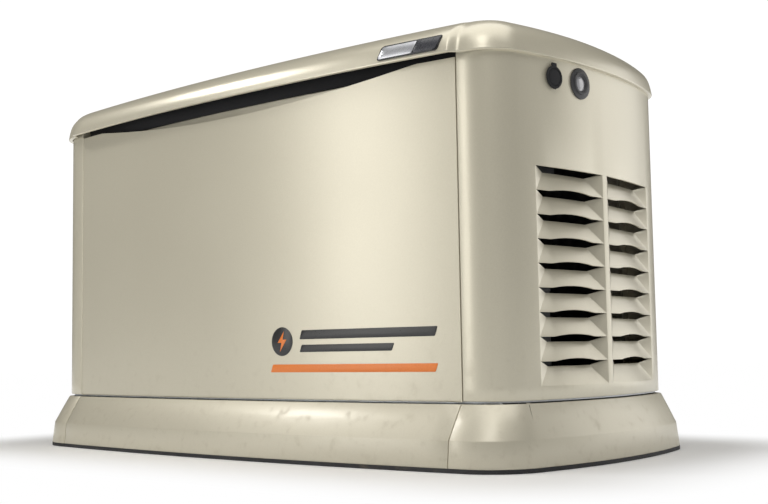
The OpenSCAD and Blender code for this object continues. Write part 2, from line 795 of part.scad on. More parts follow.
cavity_r = 62;
case_w = 180;
module crankcase() {
  w = case_w;
  color(casting) difference() {
    union() {
      translate([case_x0, -w / 2, sump_z]) cube([case_x1 - case_x0, w, crank_z - sump_z + 10]);
      x_rod(w / 2, case_x0, case_x1, 0, crank_z);
      for (i = [0, 1]) bank(i) cylinder(r = barrel_r + 10, h = barrel_base + 30);
      for (sy = [-1, 1])
        translate([case_x0 + 20, sy > 0 ? w / 2 - 1 : -w / 2 - 29, sump_z])
          cube([case_x1 - case_x0 - 40, 30, 14]);
    }
    x_rod(cavity_r, case_x0 + 14, case_x1 - 14, 0, crank_z);
    x_rod(crank_r + run_clear, case_x0 - 1, case_x1 + 1, 0, crank_z);
    for (i = [0, 1]) bank(i) cylinder(r = barrel_r - 8, h = 200);
  }
}

module cylinders() {
  fin = 116;
  z0 = barrel_base + 30;
  color(casting) for (i = [0, 1]) bank(i) difference() {
    union() {
      translate([0, 0, z0]) cylinder(r = barrel_r, h = barrel_len);
      for (k = [0:fin_count - 1])
        translate([-fin / 2 + 25, -fin / 2, z0 + 6 + k * (barrel_len - 14) / (fin_count - 1)])
          cube([fin - 50, fin, 2.4]);
    }
    translate([0, 0, z0 - 1]) cylinder(r = barrel_r - 8, h = barrel_len + 2);
  }
}

module cylinder_heads() {
  z0 = head_z0;
  color(casting) for (i = [0, 1]) bank(i) difference() {
    translate([-42, -54, z0]) cube([84, 108, head_len]);
    for (k = [0:4]) translate([-43, -55, z0 + 6 + k * 8]) cube([14, 110, 3.5]);
    for (k = [0:4]) translate([29, -55, z0 + 6 + k * 8]) cube([14, 110, 3.5]);
    translate([0, 0, z0 - 1]) cylinder(r = barrel_r - 8, h = 12);
  }
}

module valve_covers() {
  z0 = head_z0 + head_len;
  color(black) for (i = [0, 1]) bank(i) {
    translate([-38, -50, z0]) cube([76, 100, cover_len - 6]);
    translate([-32, -44, z0 + cover_len - 6 - eps]) cube([64, 88, 6]);
  }
}

runner_z = 458;
mixer_z = runner_z + 16;
mixer_x = (bank_x[0] + bank_x[1]) / 2;
head_z0 = barrel_base + 30 + barrel_len;
module head_block(i, grow = 0) {
  bank(i) translate([-42 - grow, -54 - grow, head_z0]) cube([84 + 2 * grow, 108 + 2 * grow, head_len]);
}

module intake_manifold() {
  color(casting) difference() {
    union() {
      translate([mixer_x - 32, -20, runner_z - 16]) cube([64, 40, 32]);
      translate([mixer_x - 10, -19, runner_z]) rotate([90, 0, 0]) cylinder(r = 13, h = 95);
      translate([mixer_x + 10, 19, runner_z]) rotate([-90, 0, 0]) cylinder(r = 13, h = 95);
    }
    for (i = [0, 1]) head_block(i);
  }
}

module fuel_mixer() {
  color(casting) difference() {
    union() {
      translate([mixer_x, 0, mixer_z]) cylinder(r = 24, h = 50);
      translate([mixer_x - 30, -30, mixer_z + 50 - eps]) cube([60, 60, 6]);
      translate([mixer_x - 24, -36, mixer_z + 12]) cube([48, 14, 26]);
    }
    translate([mixer_x, 0, mixer_z - 1]) cylinder(r = 18, h = 60);
    translate([mixer_x, -60, mixer_z + 25]) rotate([-90, 0, 0])
      cylinder(r = 4 + run_clear, h = 60);
  }
}

module throttle_lever() {
  color(steel) {
    translate([mixer_x, -41, mixer_z + 25]) rotate([-90, 0, 0]) cylinder(r = 4, h = 25);
    translate([mixer_x - 6, -44, mixer_z + 20]) cube([34, 3 + eps, 10]);
  }
}

filter_z = mixer_z + 56;
module air_filter_box() {
  color(black) union() {
    translate([mixer_x - 85, -75, filter_z]) cube([170, 150, 60]);
    translate([mixer_x - 80, -70, filter_z + 60 - eps]) cube([160, 140, 10]);
    for (sy = [-1, 1]) translate([mixer_x - 10, sy * 75 - 4, filter_z + 35]) cube([20, 8, 30]);
  }
}

oil_x = -60;
module oil_filter() {
  color([0.15, 0.2, 0.35]) translate([oil_x, -case_w / 2, crank_z - 70]) rotate([90, 0, 0]) {
    cylinder(r = 38, h = 76);
    translate([0, 0, 76 - eps]) cylinder(r = 30, h = 6);
  }
}

dip_x = case_x0 + 18;
dip_y = -175;
dip_top = 505;
module dipstick_tube() {
  color(steel) difference() {
    union() {
      translate([dip_x, dip_y, sump_z + 20]) cylinder(r = 8, h = dip_top - sump_z - 20);
      translate([dip_x - 12, dip_y - 10, sump_z + 20]) cube([24, -case_w / 2 - dip_y + 10, 26]);
    }
    translate([dip_x, dip_y, sump_z + 26]) cylinder(r = 6, h = dip_top);
  }
}
module dipstick() {
  color([0.9, 0.75, 0.1]) union() {
    translate([dip_x, dip_y, sump_z + 60]) cylinder(r = 2, h = dip_top - sump_z - 55);
    translate([dip_x, dip_y, dip_top]) cylinder(r = 11, h = 14);
    translate([dip_x - 3, dip_y - 14, dip_top + 14 - eps]) cube([6, 28, 16]);
  }
}

module starter_motor() {
  color(black) {
    x_rod(34, case_x0 + 60, case_x0 + 185, 135, sump_z + 52);
    x_rod(22, case_x0 + 42, case_x0 + 60 + eps, 135, sump_z + 52);
    x_rod(17, case_x0 + 80, case_x0 + 160, 190, sump_z + 66);
    translate([case_x0 + 100, 160, sump_z + 50]) cube([40, 24, 16]);
  }
}

shroud_x0 = bulkhead_x + 14;
shroud_x1 = case_x0 - 6;
duct_w = 2 * port_y - 2 * pipe_r - 20;
module blower_shroud() {
  r = fly_r + 12;
  color(black) difference() {
    union() {
      x_rod(r, shroud_x0, shroud_x1, 0, crank_z);
      translate([shroud_x0, -duct_w / 2, crank_z]) cube([shroud_x1 - shroud_x0, duct_w, r + 30]);
    }
    x_rod(fly_r + 8, shroud_x0 + 3, shroud_x1 + 1, 0, crank_z);
    translate([shroud_x0 + 3, -duct_w / 2 + 4, crank_z])
      cube([shroud_x1 - shroud_x0, duct_w - 8, r + 26]);
    x_rod(fly_r - 25, shroud_x0 - 1, shroud_x0 + 4, 0, crank_z);
  }
}

alt_x0 = case_x1 + 24;
alt_x1 = alt_x0 + alt_l;
rotor_r = 72;
shaft_r = 15;

module crankshaft() {
  throw_r = 24;
  color(steel) union() {
    x_rod(crank_r, shroud_x0 + 16, case_x1 + 10, 0, crank_z);
    for (i = [0, 1]) {
      x = bank_x[i];
      for (s = [-1, 1]) translate([x + s * 24 - 7, 0, crank_z]) rotate([0, 90, 0])
        cylinder(r = 50, h = 14);
      x_rod(crank_r, x - 20, x + 20, 0, crank_z + throw_r);
    }
  }
}

module flywheel() {
  blades = 16;
  x0 = shroud_x0 + 12;
  color(casting) difference() {
    union() {
      x_rod(fly_r, x0 + 24, x0 + 40, 0, crank_z);
      x_rod(40, x0, x0 + 40, 0, crank_z);
      for (a = [0:360 / blades:359]) translate([x0 + 4, 0, crank_z]) rotate([a, 0, 0])
        translate([0, 38, -1.5]) cube([22, fly_r - 42, 3]);
    }
    x_rod(crank_r, x0 - 1, x0 + 42, 0, crank_z);
  }
}

module alternator_rotor() {
  color([0.55, 0.3, 0.15]) difference() {
    union() {
      x_rod(shaft_r, case_x1 + 10, alt_x1 + 6, 0, crank_z);
      x_rod(rotor_r, alt_x0 + 50, alt_x0 + 160, 0, crank_z);
      x_rod(crank_r + 8, case_x1 + 10, alt_x0 + 30, 0, crank_z);
      x_rod(86, alt_x0 + 22, alt_x0 + 30, 0, crank_z);
    }
    for (a = [0:90:270]) translate([alt_x0 + 40, 0, crank_z]) rotate([a + 45, 0, 0])
      translate([0, 52, -10]) cube([130, 40, 20]);
  }
}

module alternator_case() {
  color(casting) difference() {
    union() {
      x_rod(alt_r, alt_x0, alt_x1, 0, crank_z);
      for (sy = [-1, 1])
        translate([alt_x1 - 60, sy > 0 ? 70 : -130, sump_z]) cube([40, 60, 50]);
      translate([case_x1, 0, crank_z]) rotate([0, 90, 0]) cylinder(r = 80, h = 25);
    }
    x_rod(alt_r - 6, alt_x0 + 6, alt_x1 - 10, 0, crank_z);
    x_rod(60, case_x1 - 1, alt_x0 + 7, 0, crank_z);
    x_rod(shaft_r + run_clear, alt_x1 - 20, alt_x1 + 10, 0, crank_z);
    for (a = [0:30:330]) translate([alt_x1 - 12, 0, crank_z]) rotate([a, 0, 0])
      translate([0, 50, -8]) cube([20, 45, 16]);
    for (a = [0:45:315]) translate([alt_x0 + 14, 0, crank_z]) rotate([a + 22.5, 0, 0])
      translate([0, alt_r - 10, -14]) cube([24, 20, 28]);
  }
}

module stator_core() {
  color([0.5, 0.32, 0.2]) difference() {
    x_rod(alt_r - 6, alt_x0 + 50, alt_x0 + 160, 0, crank_z);
    x_rod(rotor_r + 1, alt_x0 + 40, alt_x0 + 170, 0, crank_z);
  }
}

// ---- Exhaust ------------------------------------------------------------
muffler_x = -455;
muffler_z = 330;
muffler_wall = 2;
tail_r = 22;

module muffler() {
  color([0.45, 0.42, 0.4]) difference() {
    union() {
      translate([muffler_x, muffler_l / 2, muffler_z]) rotate([90, 0, 0])
        cylinder(r = muffler_r, h = muffler_l);
      for (sy = [-1, 1]) translate([muffler_x - 20, sy * 130 - 15, panel_z])
        cube([40, 30, muffler_z - panel_z - muffler_r + 12]);
      x_rod(tail_r + 2, muffler_x - muffler_r - 25, muffler_x - 40, 60, muffler_z);
    }
    translate([muffler_x, muffler_l / 2 - muffler_wall, muffler_z]) rotate([90, 0, 0])
      cylinder(r = muffler_r - muffler_wall, h = muffler_l - 2 * muffler_wall);
    x_rod(tail_r, muffler_x - muffler_r - 26, muffler_x - 30, 60, muffler_z);
  }
}

// A quarter bend of round tube in the XZ plane: starts at the origin along -X
// and ends pointing down.
module bend(r, bend_r) {
  translate([0, 0, -bend_r]) rotate([90, 0, 0]) rotate([0, 0, 90])
    rotate_extrude(angle = 90) translate([bend_r, 0]) circle(r = r);
}

pipe_bend = 34;
module exhaust_pipes() {
  color([0.5, 0.45, 0.4]) difference() {
    for (i = [0, 1]) {
      y = (i == 0 ? -1 : 1) * port_y;
      x_rod(pipe_r, muffler_x + pipe_bend, bank_x[i] - 42, y, port_z);
      translate([muffler_x + pipe_bend, y, port_z]) bend(pipe_r, pipe_bend);
      x_rod(pipe_r + 7, bank_x[i] - 48, bank_x[i] - 42, y, port_z);
    }
    translate([muffler_x, muffler_l / 2, muffler_z]) rotate([90, 0, 0])
      cylinder(r = muffler_r, h = muffler_l);
  }
}

// ---- Fuel system --------------------------------------------------------
reg_y = 185;
hose_r = 10;
hose_y = reg_y - 13;
hose_foot = fuel_z + 140;
inlet_y = side_y(fuel_x, body_hw) - 30;
module fuel_inlet() {
  color([0.75, 0.6, 0.3]) translate([fuel_x, inlet_y, fuel_z]) rotate([-90, 0, 0])
    difference() {
    union() {
      cylinder(r = 13.5, h = 44);
      translate([0, 0, 34]) cylinder(r = 18, h = 8, $fn = 6);
    }
    translate([0, 0, 8]) cylinder(r = fuel_r, h = 40);
  }
}
module fuel_regulator() {
  color(casting) union() {
    translate([fuel_x, inlet_y, fuel_z]) rotate([90, 0, 0]) cylinder(r = 22, h = inlet_y - reg_y);
    translate([fuel_x, reg_y, fuel_z + 70]) rotate([90, 0, 0]) cylinder(r = 62, h = 26);
    translate([fuel_x - 24, reg_y - 26, fuel_z - 24]) cube([48, 56, 50]);
    translate([fuel_x, hose_y, fuel_z + 70]) cylinder(r = 8, h = hose_foot - fuel_z - 70);
  }
}
hose_bend = 30;
hose_top = mixer_z + 15;

module fuel_hose() {
  color(black) union() {
    translate([fuel_x, hose_y, hose_foot]) cylinder(r = hose_r, h = hose_top - hose_bend - hose_foot);
    translate([fuel_x, hose_y - hose_bend, hose_top - hose_bend]) rotate([0, 90, 0]) rotate([0, 0, 90])
      rotate_extrude(angle = 90) translate([hose_bend, 0]) circle(r = hose_r);
    translate([fuel_x, hose_y - hose_bend, hose_top]) rotate([90, 0, 0])
      cylinder(r = hose_r, h = hose_y - 2 * hose_bend);
    translate([fuel_x - hose_bend, hose_bend, hose_top]) rotate([0, 0, -90])
      rotate_extrude(angle = 90) translate([hose_bend, 0]) circle(r = hose_r);
    x_rod(hose_r, mixer_x + 24, fuel_x - hose_bend, 0, hose_top);
  }
}

// ---- Controls -----------------------------------------------------------
ctl_x0 = 300;
ctl_l = 220;
ctl_y0 = -205;
ctl_w = 150;
ctl_z0 = 440;
ctl_h = 140;
ctl_top = ctl_z0 + ctl_h;
key_y = ctl_y0 + 45;
key_x0 = ctl_x0 + 60;
key_h = 10;

module control_box() {
  color(black) difference() {
    translate([ctl_x0, ctl_y0, ctl_z0]) cube([ctl_l, ctl_w, ctl_h]);
    for (i = [0:2]) translate([key_x0 + i * key_pitch, key_y, ctl_top - 6])
      cylinder(r = key_r + 0.3, h = 10);
    translate([ctl_x0 + 40, ctl_y0 + 75, ctl_top - 2]) cube([110, 50, 5]);
    translate([ctl_x0 + 165, ctl_y0 + 20, ctl_top - 26]) cube([46, 110, 30]);
  }
}
module key(i) {
  translate([key_x0 + i * key_pitch, key_y, ctl_top - 6 + key_travel + 0.5])
    cylinder(r = key_r, h = key_h);
}
module auto_key() color("green") key(0);
module manual_key() color("orange") key(1);
module off_key() color("red") key(2);

brk_x = ctl_x0 + 168;
brk_y = ctl_y0 + 24;
module main_breaker() {
  color(black) difference() {
    translate([brk_x, brk_y, ctl_top - 26]) cube([40, 102, 40]);
    translate([brk_x + 12, brk_y + 31, ctl_top - 6]) cube([16, 40, 30]);
    translate([brk_x - 1, brk_y + 51, ctl_top]) rotate([0, 90, 0]) cylinder(r = 3.05, h = 50);
  }
}
module breaker_toggle() {
  color("white") union() {
    translate([brk_x + 2, brk_y + 51, ctl_top]) rotate([0, 90, 0]) cylinder(r = 3, h = 36);
    translate([brk_x + 15, brk_y + 48, ctl_top]) cube([10, 6, 24]);
  }
}

bat_x = 296;
bat_y = -223;
module battery() {
  color([0.12, 0.12, 0.12]) union() {
    translate([bat_x, bat_y, panel_z]) cube([battery_l, battery_w, battery_h]);
    for (x = [30, battery_l - 30])
      translate([bat_x + x, bat_y + 30, panel_z + battery_h - eps]) cylinder(r = 9, h = 17);
  }
}
module battery_strap() {
  w = 30;
  x = bat_x + battery_l / 2 - w / 2;
  color(rubber) difference() {
    translate([x, bat_y - 4, panel_z]) cube([w, battery_w + 8, battery_h + 4]);
    translate([x - 1, bat_y - 0.3, panel_z - 1]) cube([w + 2, battery_w + 0.6, battery_h + 1.3]);
  }
}

module panel_screws() {
  y = side_y(rear_seam_screw, body_hw) + 1.5;
  color(steel) for (x = [-rear_seam_screw, rear_seam_screw], z = screw_z)
    translate([x, y, z]) rotate([90, 0, 0]) {
      cylinder(r = screw_r, h = 14);
      translate([0, 0, -3]) cylinder(r = 2 * screw_r, h = 3 + eps);
    }
}

mounting_pad();
base_tray();
fascia_front();
fascia_rear();
fascia_right();
fascia_left();
right_end_panel();
left_end_panel();
front_panel();
rear_panel();
header_rail();
lid();
lid_seal();
lid_badge();
hinge_leaves_body();
hinge_leaves_lid();
hinge_pins();
lock_housings();
right_lock_cam();
left_lock_cam();
right_lock_cover();
left_lock_cover();
lid_strikes();
sight_glass_bezel();
sight_glass_lens();
bulkhead();
engine_cradle();
rubber_mounts();
crankcase();
cylinders();
cylinder_heads();
valve_covers();
intake_manifold();
fuel_mixer();
throttle_lever();
air_filter_box();
oil_filter();
dipstick_tube();
dipstick();
starter_motor();
blower_shroud();
crankshaft();
flywheel();
alternator_rotor();
alternator_case();
stator_core();
exhaust_pipes();
muffler();
fuel_regulator();
fuel_hose();
fuel_inlet();
control_box();
auto_key();
manual_key();
off_key();
main_breaker();
breaker_toggle();
battery();
battery_strap();
panel_screws();
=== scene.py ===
# %% [markdown]
# This lesson dresses a home standby generator: a beige sheet-metal enclosure with a
# pop-up lid, louvred ends and a composite base, and the engine and alternator inside.
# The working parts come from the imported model, which is loaded as a fixed frame. Skins
# that people see are built again here, smoother and with folded edges, and every part
# gets its own finish.

# %% Load the frame
import math

import bmesh
import bpy
from mathutils import Matrix, Vector


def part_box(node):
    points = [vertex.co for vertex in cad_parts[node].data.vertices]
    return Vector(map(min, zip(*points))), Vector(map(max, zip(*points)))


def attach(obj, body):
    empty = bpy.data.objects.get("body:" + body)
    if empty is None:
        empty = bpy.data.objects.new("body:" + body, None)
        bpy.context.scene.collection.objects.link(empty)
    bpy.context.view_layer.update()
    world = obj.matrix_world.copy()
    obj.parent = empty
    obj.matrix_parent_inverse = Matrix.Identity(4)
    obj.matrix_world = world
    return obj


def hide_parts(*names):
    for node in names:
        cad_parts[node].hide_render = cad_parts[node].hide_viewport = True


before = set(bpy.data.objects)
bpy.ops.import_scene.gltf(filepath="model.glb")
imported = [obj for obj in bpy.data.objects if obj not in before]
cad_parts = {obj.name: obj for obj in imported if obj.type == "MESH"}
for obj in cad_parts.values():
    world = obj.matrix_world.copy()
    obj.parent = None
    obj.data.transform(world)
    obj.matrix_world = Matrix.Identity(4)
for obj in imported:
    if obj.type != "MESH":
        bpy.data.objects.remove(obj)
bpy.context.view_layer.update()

# %% [markdown]
# A material is a small graph of nodes. Writing it as arithmetic is easier to read than
# wiring boxes, so Field wraps one socket and turns + - * and the like into Math nodes.
# Finish holds one material and adds any other node through one method.

# %% Shader arithmetic


class Field:
    """A value that changes over a surface, used like a number in an expression."""

    def __init__(self, finish, socket):
        self.finish, self.socket = finish, socket

    def _math(self, operation, first, second):
        node = self.finish.add("ShaderNodeMath", {"operation": operation}, {0: first, 1: second})
        return node["Value"]

    def __add__(self, other): return self._math("ADD", self, other)
    def __radd__(self, other): return self._math("ADD", other, self)
    def __sub__(self, other): return self._math("SUBTRACT", self, other)
    def __rsub__(self, other): return self._math("SUBTRACT", other, self)
    def __mul__(self, other): return self._math("MULTIPLY", self, other)
    def __rmul__(self, other): return self._math("MULTIPLY", other, self)

    def ramp(self, low, high):
        """0 below low, 1 above high and a smooth step between."""
        node = self.finish.add(
            "ShaderNodeMapRange", {"interpolation_type": "SMOOTHSTEP", "clamp": True},
            {"Value": self, "From Min": low, "From Max": high})
        return node["Result"]


class Added:
    """A node that was added; its outputs are read as node["Name"]."""

    def __init__(self, finish, node):
        self.finish, self.node = finish, node

    def __getitem__(self, name):
        return Field(self.finish, self.node.outputs[name])


class Finish:
    """One procedural material on a principled shader."""

    def __init__(self, name, **shader_values):
        self.material = bpy.data.materials.new(name)
        self.material.use_nodes = True
        self.tree = self.material.node_tree
        self.shader = self.tree.nodes["Principled BSDF"]
        for socket, value in shader_values.items():
            self.shader.inputs[socket.replace("_", " ")].default_value = value

    def add(self, kind, settings=None, sockets=None):
        node = self.tree.nodes.new(kind)
        for name, value in (settings or {}).items():
            setattr(node, name, value)
        for name, value in (sockets or {}).items():
            self.connect(node.inputs[name], value)
        return Added(self, node)

    def connect(self, socket, value):
        if isinstance(value, Field):
            self.tree.links.new(value.socket, socket)
        else:
            socket.default_value = value

    def feed(self, name, value):
        self.connect(self.shader.inputs[name], value)

    def place(self):
        """Object coordinates, which every piece shares because all sit at the origin."""
        return self.add("ShaderNodeTexCoord")["Object"]

    def stretched(self, scale):
        return self.add("ShaderNodeMapping", {}, {"Vector": self.place(), "Scale": scale})["Vector"]

    def noise(self, scale, detail=2.0, vector=None, rough=0.5):
        sockets = {"Vector": vector or self.place(), "Scale": scale, "Detail": detail,
                   "Roughness": rough}
        return self.add("ShaderNodeTexNoise", {}, sockets)["Fac"]

    def cells(self, scale, feature="F1"):
        return self.add("ShaderNodeTexVoronoi", {"feature": feature},
                        {"Vector": self.place(), "Scale": scale})

    def blend(self, amount, first, second):
        sockets = {"Factor": amount, "A": first, "B": second}
        node = self.tree.nodes.new("ShaderNodeMix")
        node.data_type = "RGBA"
        for socket in node.inputs:
            if socket.enabled and socket.name in sockets:
                self.connect(socket, sockets[socket.name])
        return Field(self, next(s for s in node.outputs if s.enabled))

    def axis(self, name):
        return self.add("ShaderNodeSeparateXYZ", {}, {"Vector": self.place()})[name]

    def bump(self, height, distance, strength=1.0):
        node = self.add("ShaderNodeBump", {}, {"Height": height, "Distance": distance,
                                               "Strength": strength})
        self.feed("Normal", node["Normal"])


# %% [markdown]
# Most finishes on this machine share one recipe: a base colour that drifts a little, a
# fine grain that also roughens the gloss, and a shallow bump. What differs is the scale
# of the grain and how metallic the surface is, so one function makes them all.

# %% The common finish


def grained(name, light, dark, rough, grain, depth, metallic=0.0, drift=6.0, stretch=None,
            rough_spread=0.12, dirt=0.0, **more):
    finish = Finish(name, Metallic=metallic, **more)
    vector = finish.stretched(stretch) if stretch else None
    fine = finish.noise(grain, 3.0, vector)
    slow = finish.noise(drift, 3.0)
    mix = (fine * 0.45 + slow * 0.55).ramp(0.3, 0.7)
    colour = finish.blend(mix, (*dark, 1), (*light, 1))
    if dirt:
        dust = finish.noise(38.0, 4.0).ramp(0.5, 0.75) * finish.noise(4.0, 2.0).ramp(0.45, 0.7)
        colour = finish.blend(dust * dirt, colour, (0.24, 0.19, 0.13, 1))
    finish.feed("Base Color", colour)
    finish.feed("Roughness", rough + (fine - 0.5) * rough_spread + (slow - 0.5) * rough_spread)
    finish.bump(fine, depth)
    return finish.material


# %% [markdown]
# The enclosure wears a satin powder coat. Close up it has the soft orange peel of melted
# powder, a faint wave from the sheet under it, and a little road dust towards the ground.
# A thin clear gloss over a slightly rough coat gives its broad, milky reflections.

# %% Satin beige coat


def powder_coat(name, light, dark, rough=0.32):
    coat = Finish(name, Metallic=0.3, Coat_Roughness=0.22, Specular_IOR_Level=0.55)
    peel = coat.noise(420.0, 2.0)
    wave = coat.noise(5.0, 1.0)
    speck = coat.cells(1400.0)["Distance"].ramp(0.0, 0.22)
    tone = (coat.noise(2.2, 3.0) * 0.6 + peel * 0.4).ramp(0.3, 0.7)
    paint = coat.blend(tone, (*dark, 1), (*light, 1))
    paint = coat.blend((1.0 - speck) * 0.10, paint, (0.30, 0.26, 0.20, 1))
    dust = coat.noise(60.0, 5.0).ramp(0.52, 0.8) * (1.0 - coat.axis("Z").ramp(0.02, 0.30))
    coat.feed("Base Color", coat.blend(dust * 0.22, paint, (0.34, 0.29, 0.21, 1)))
    coat.feed("Roughness", rough + (peel - 0.5) * 0.10 + dust * 0.15 + (wave - 0.5) * 0.05)
    coat.feed("Coat Weight", 0.35 - dust * 0.3)
    coat.bump(peel * 0.8 + wave * 2.0, 0.00012, 0.6)
    return coat.material


BEIGE_LIGHT = (0.640, 0.600, 0.475)
BEIGE_DARK = (0.600, 0.560, 0.440)
beige_coat = powder_coat("satin_beige_coat", BEIGE_LIGHT, BEIGE_DARK)
base_coat = powder_coat("moulded_beige_base", (0.650, 0.610, 0.490), (0.610, 0.570, 0.450), 0.42)
print("coats", beige_coat.name, base_coat.name)

# %% [markdown]
# Behind the panels the finishes are plainer: zinc-coated sheet with its crystal spangle,
# sand-cast alloy, drawn steel, moulded black plastics, rubber, and the heat-stained steel
# of the exhaust. Spangle comes from Voronoi cells, because zinc freezes in such patches.

# %% Workshop finishes
zinc = Finish("zinc_spangle", Metallic=0.9)
patch = zinc.cells(75.0)
flake = zinc.add("ShaderNodeSeparateColor", {}, {"Color": patch["Color"]})["Red"]
zinc.feed("Base Color", zinc.blend(flake, (0.40, 0.42, 0.44, 1), (0.60, 0.62, 0.64, 1)))
zinc.feed("Roughness", 0.34 + flake * 0.2)
zinc.bump(zinc.noise(300.0, 2.0), 0.0001)

exhaust = Finish("heat_stained_steel", Metallic=0.85)
stain = exhaust.noise(9.0, 4.0).ramp(0.35, 0.65)
rust = exhaust.noise(70.0, 6.0, rough=0.7).ramp(0.52, 0.7)
hot = exhaust.blend(stain, (0.30, 0.27, 0.25, 1), (0.42, 0.33, 0.24, 1))
exhaust.feed("Base Color", exhaust.blend(rust * 0.7, hot, (0.20, 0.095, 0.045, 1)))
exhaust.feed("Roughness", 0.38 + rust * 0.35)
exhaust.bump(rust + exhaust.noise(240.0) * 0.4, 0.0003)

core = Finish("core_plates", Metallic=0.7)
stack = core.add("ShaderNodeMath", {"operation": "SINE"}, {0: core.axis("X") * 5200.0})["Value"]
core.feed("Base Color", core.blend(stack.ramp(-0.4, 0.8), (0.16, 0.12, 0.10, 1),
                                   (0.42, 0.37, 0.33, 1)))
core.feed("Roughness", 0.45 + core.noise(90.0) * 0.2)
core.bump(stack, 0.0003)

finishes = {
    "beige_paint": beige_coat,
    "zinc_steel": zinc.material,
    "exhaust_steel": exhaust.material,
    "core_steel": core.material,
}
# Slot: name, light and dark colour, roughness, grain, bump depth, and what else differs.
grained_finishes = {
    "pad_composite": ("pad_grit", (0.040, 0.040, 0.042), (0.018, 0.018, 0.020), 0.72, 520.0,
                      0.0006, dict(dirt=0.3)),
    "bright_steel": ("turned_steel", (0.66, 0.66, 0.67), (0.48, 0.49, 0.50), 0.26, 900.0,
                     0.00005, dict(metallic=1.0, stretch=(30, 1, 1))),
    "black_rubber": ("black_rubber", (0.022, 0.022, 0.024), (0.010, 0.010, 0.011), 0.70, 800.0,
                     0.0002, dict(dirt=0.04, Specular_IOR_Level=0.25)),
    "badge_plastic": ("badge_rim", (0.018, 0.018, 0.020), (0.010, 0.010, 0.012), 0.25, 600.0,
                      0.00003, dict()),
    "black_plastic": ("moulded_black", (0.045, 0.045, 0.048), (0.026, 0.026, 0.028), 0.46,
                      1100.0, 0.00015, dict(dirt=0.08)),
    "grey_lens": ("sight_lens", (0.42, 0.42, 0.43), (0.34, 0.34, 0.36), 0.12, 500.0, 0.00002,
                  dict(Coat_Weight=1.0, Coat_Roughness=0.05)),
    "black_paint": ("engine_black", (0.030, 0.030, 0.032), (0.014, 0.014, 0.016), 0.33, 420.0,
                    0.00012, dict(dirt=0.22)),
    "cast_alloy": ("sand_cast_alloy", (0.58, 0.58, 0.57), (0.40, 0.40, 0.40), 0.48, 620.0,
                   0.0005, dict(metallic=0.85, drift=16.0, dirt=0.35)),
    "filter_paint": ("filter_blue", (0.035, 0.075, 0.20), (0.020, 0.050, 0.150), 0.28, 300.0,
                     0.00006, dict(dirt=0.15)),
    "yellow_plastic": ("yellow_grip", (0.80, 0.56, 0.03), (0.66, 0.44, 0.02), 0.38, 700.0,
                       0.0001, dict(dirt=0.1)),
    "brass_fitting": ("brass", (0.72, 0.53, 0.24), (0.55, 0.38, 0.15), 0.28, 700.0, 0.00008,
                      dict(metallic=1.0, stretch=(1, 20, 1))),
    "green_plastic": ("green_key", (0.03, 0.32, 0.09), (0.02, 0.24, 0.06), 0.34, 700.0, 0.00008,
                      dict()),
    "amber_plastic": ("amber_key", (0.85, 0.38, 0.03), (0.70, 0.28, 0.02), 0.34, 700.0, 0.00008,
                      dict()),
    "red_plastic": ("red_key", (0.60, 0.03, 0.02), (0.45, 0.02, 0.015), 0.34, 700.0, 0.00008,
                    dict()),
    "white_plastic": ("white_toggle", (0.80, 0.80, 0.77), (0.70, 0.70, 0.66), 0.36, 700.0,
                      0.00008, dict(dirt=0.06)),
    "battery_case": ("battery_case", (0.030, 0.032, 0.036), (0.016, 0.017, 0.020), 0.40, 260.0,
                     0.0003, dict(dirt=0.14)),
}
for slot, (name, light, dark, rough, grain, depth, more) in grained_finishes.items():
    finishes[slot] = grained(name, light, dark, rough, grain, depth, **more)
copper = grained("lacquered_copper", (0.62, 0.25, 0.10), (0.42, 0.14, 0.05), 0.30, 500.0, 0.0004,
                 0.9, stretch=(1, 4, 4))
print("finishes", len(finishes) + 1)

# %% [markdown]
# Every node of the frame names the finish that its record gives it, so the loop only looks
# that name up. The mesh stays as it is: only its material slot changes.

# %% Dress the frame's own parts
slot_of = {}
for part_name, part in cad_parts.items():
    named = [s.name for s in part.material_slots if s.material]
    slot_of[part_name] = named[0] if named else "beige_paint"
print("slots", sorted(set(slot_of.values())))

for part_name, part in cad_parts.items():
    for holder in part.material_slots:
        holder.material = finishes[slot_of[part_name]]

# %% [markdown]
# The enclosure is a bowed rectangle in plan: long sides and ends swell outwards a little
# and the corners are true arcs that meet both without a kink. The driving sizes are read
# from the frame's boxes, and one formula then gives the outline at any inset.

# %% The plan outline
MM = 0.001
pad_low, pad_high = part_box("mounting_pad")
front_low, front_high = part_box("front_panel")
lid_low, lid_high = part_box("lid")
seal_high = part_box("lid_seal")[1]

FRONT_BOW, END_BOW, SEAM_GAP = 24 * MM, 23 * MM, 1.5 * MM
BASE_R, BODY_R, LID_R = 95 * MM, 64 * MM, 80 * MM
base_hl, base_hw = pad_high.x, pad_high.y
body_hl, body_hw = seal_high.x + 0.5 * MM, -front_low.y
lid_hl, lid_hw = lid_high.x, lid_high.y
brow_out = -lid_low.y - lid_hw
front_half = front_high.x
seam_x = front_half + SEAM_GAP
panel_z = front_low.z - 1.5 * MM
wall_top = seal_high.z - 6 * MM
lip_z, crown_z = lid_low.z, lid_high.z


def side_y(x, half_width):
    return half_width - FRONT_BOW * (x / seam_x) ** 2


def corner_facts(hl, hw, r):
    """Where the corner's arc starts and ends, and its centre."""
    slope = 2 * FRONT_BOW / seam_x
    lean = math.atan(slope)
    end_lean = math.atan(2 * END_BOW / (hw - FRONT_BOW - r))
    cx = hl - END_BOW - r
    start_x = cx + r * math.sin(lean)
    cy = hw - FRONT_BOW - (start_x - seam_x) * slope - r * math.cos(lean)
    return cx, cy, math.pi / 2 - lean, end_lean


def end_x(y, hl, hw, r):
    cx, cy, _, end_lean = corner_facts(hl, hw, r)
    tip_x, tip_y = cx + r * math.cos(end_lean), cy + r * math.sin(end_lean)
    return hl - (hl - tip_x) * (y / tip_y) ** 2


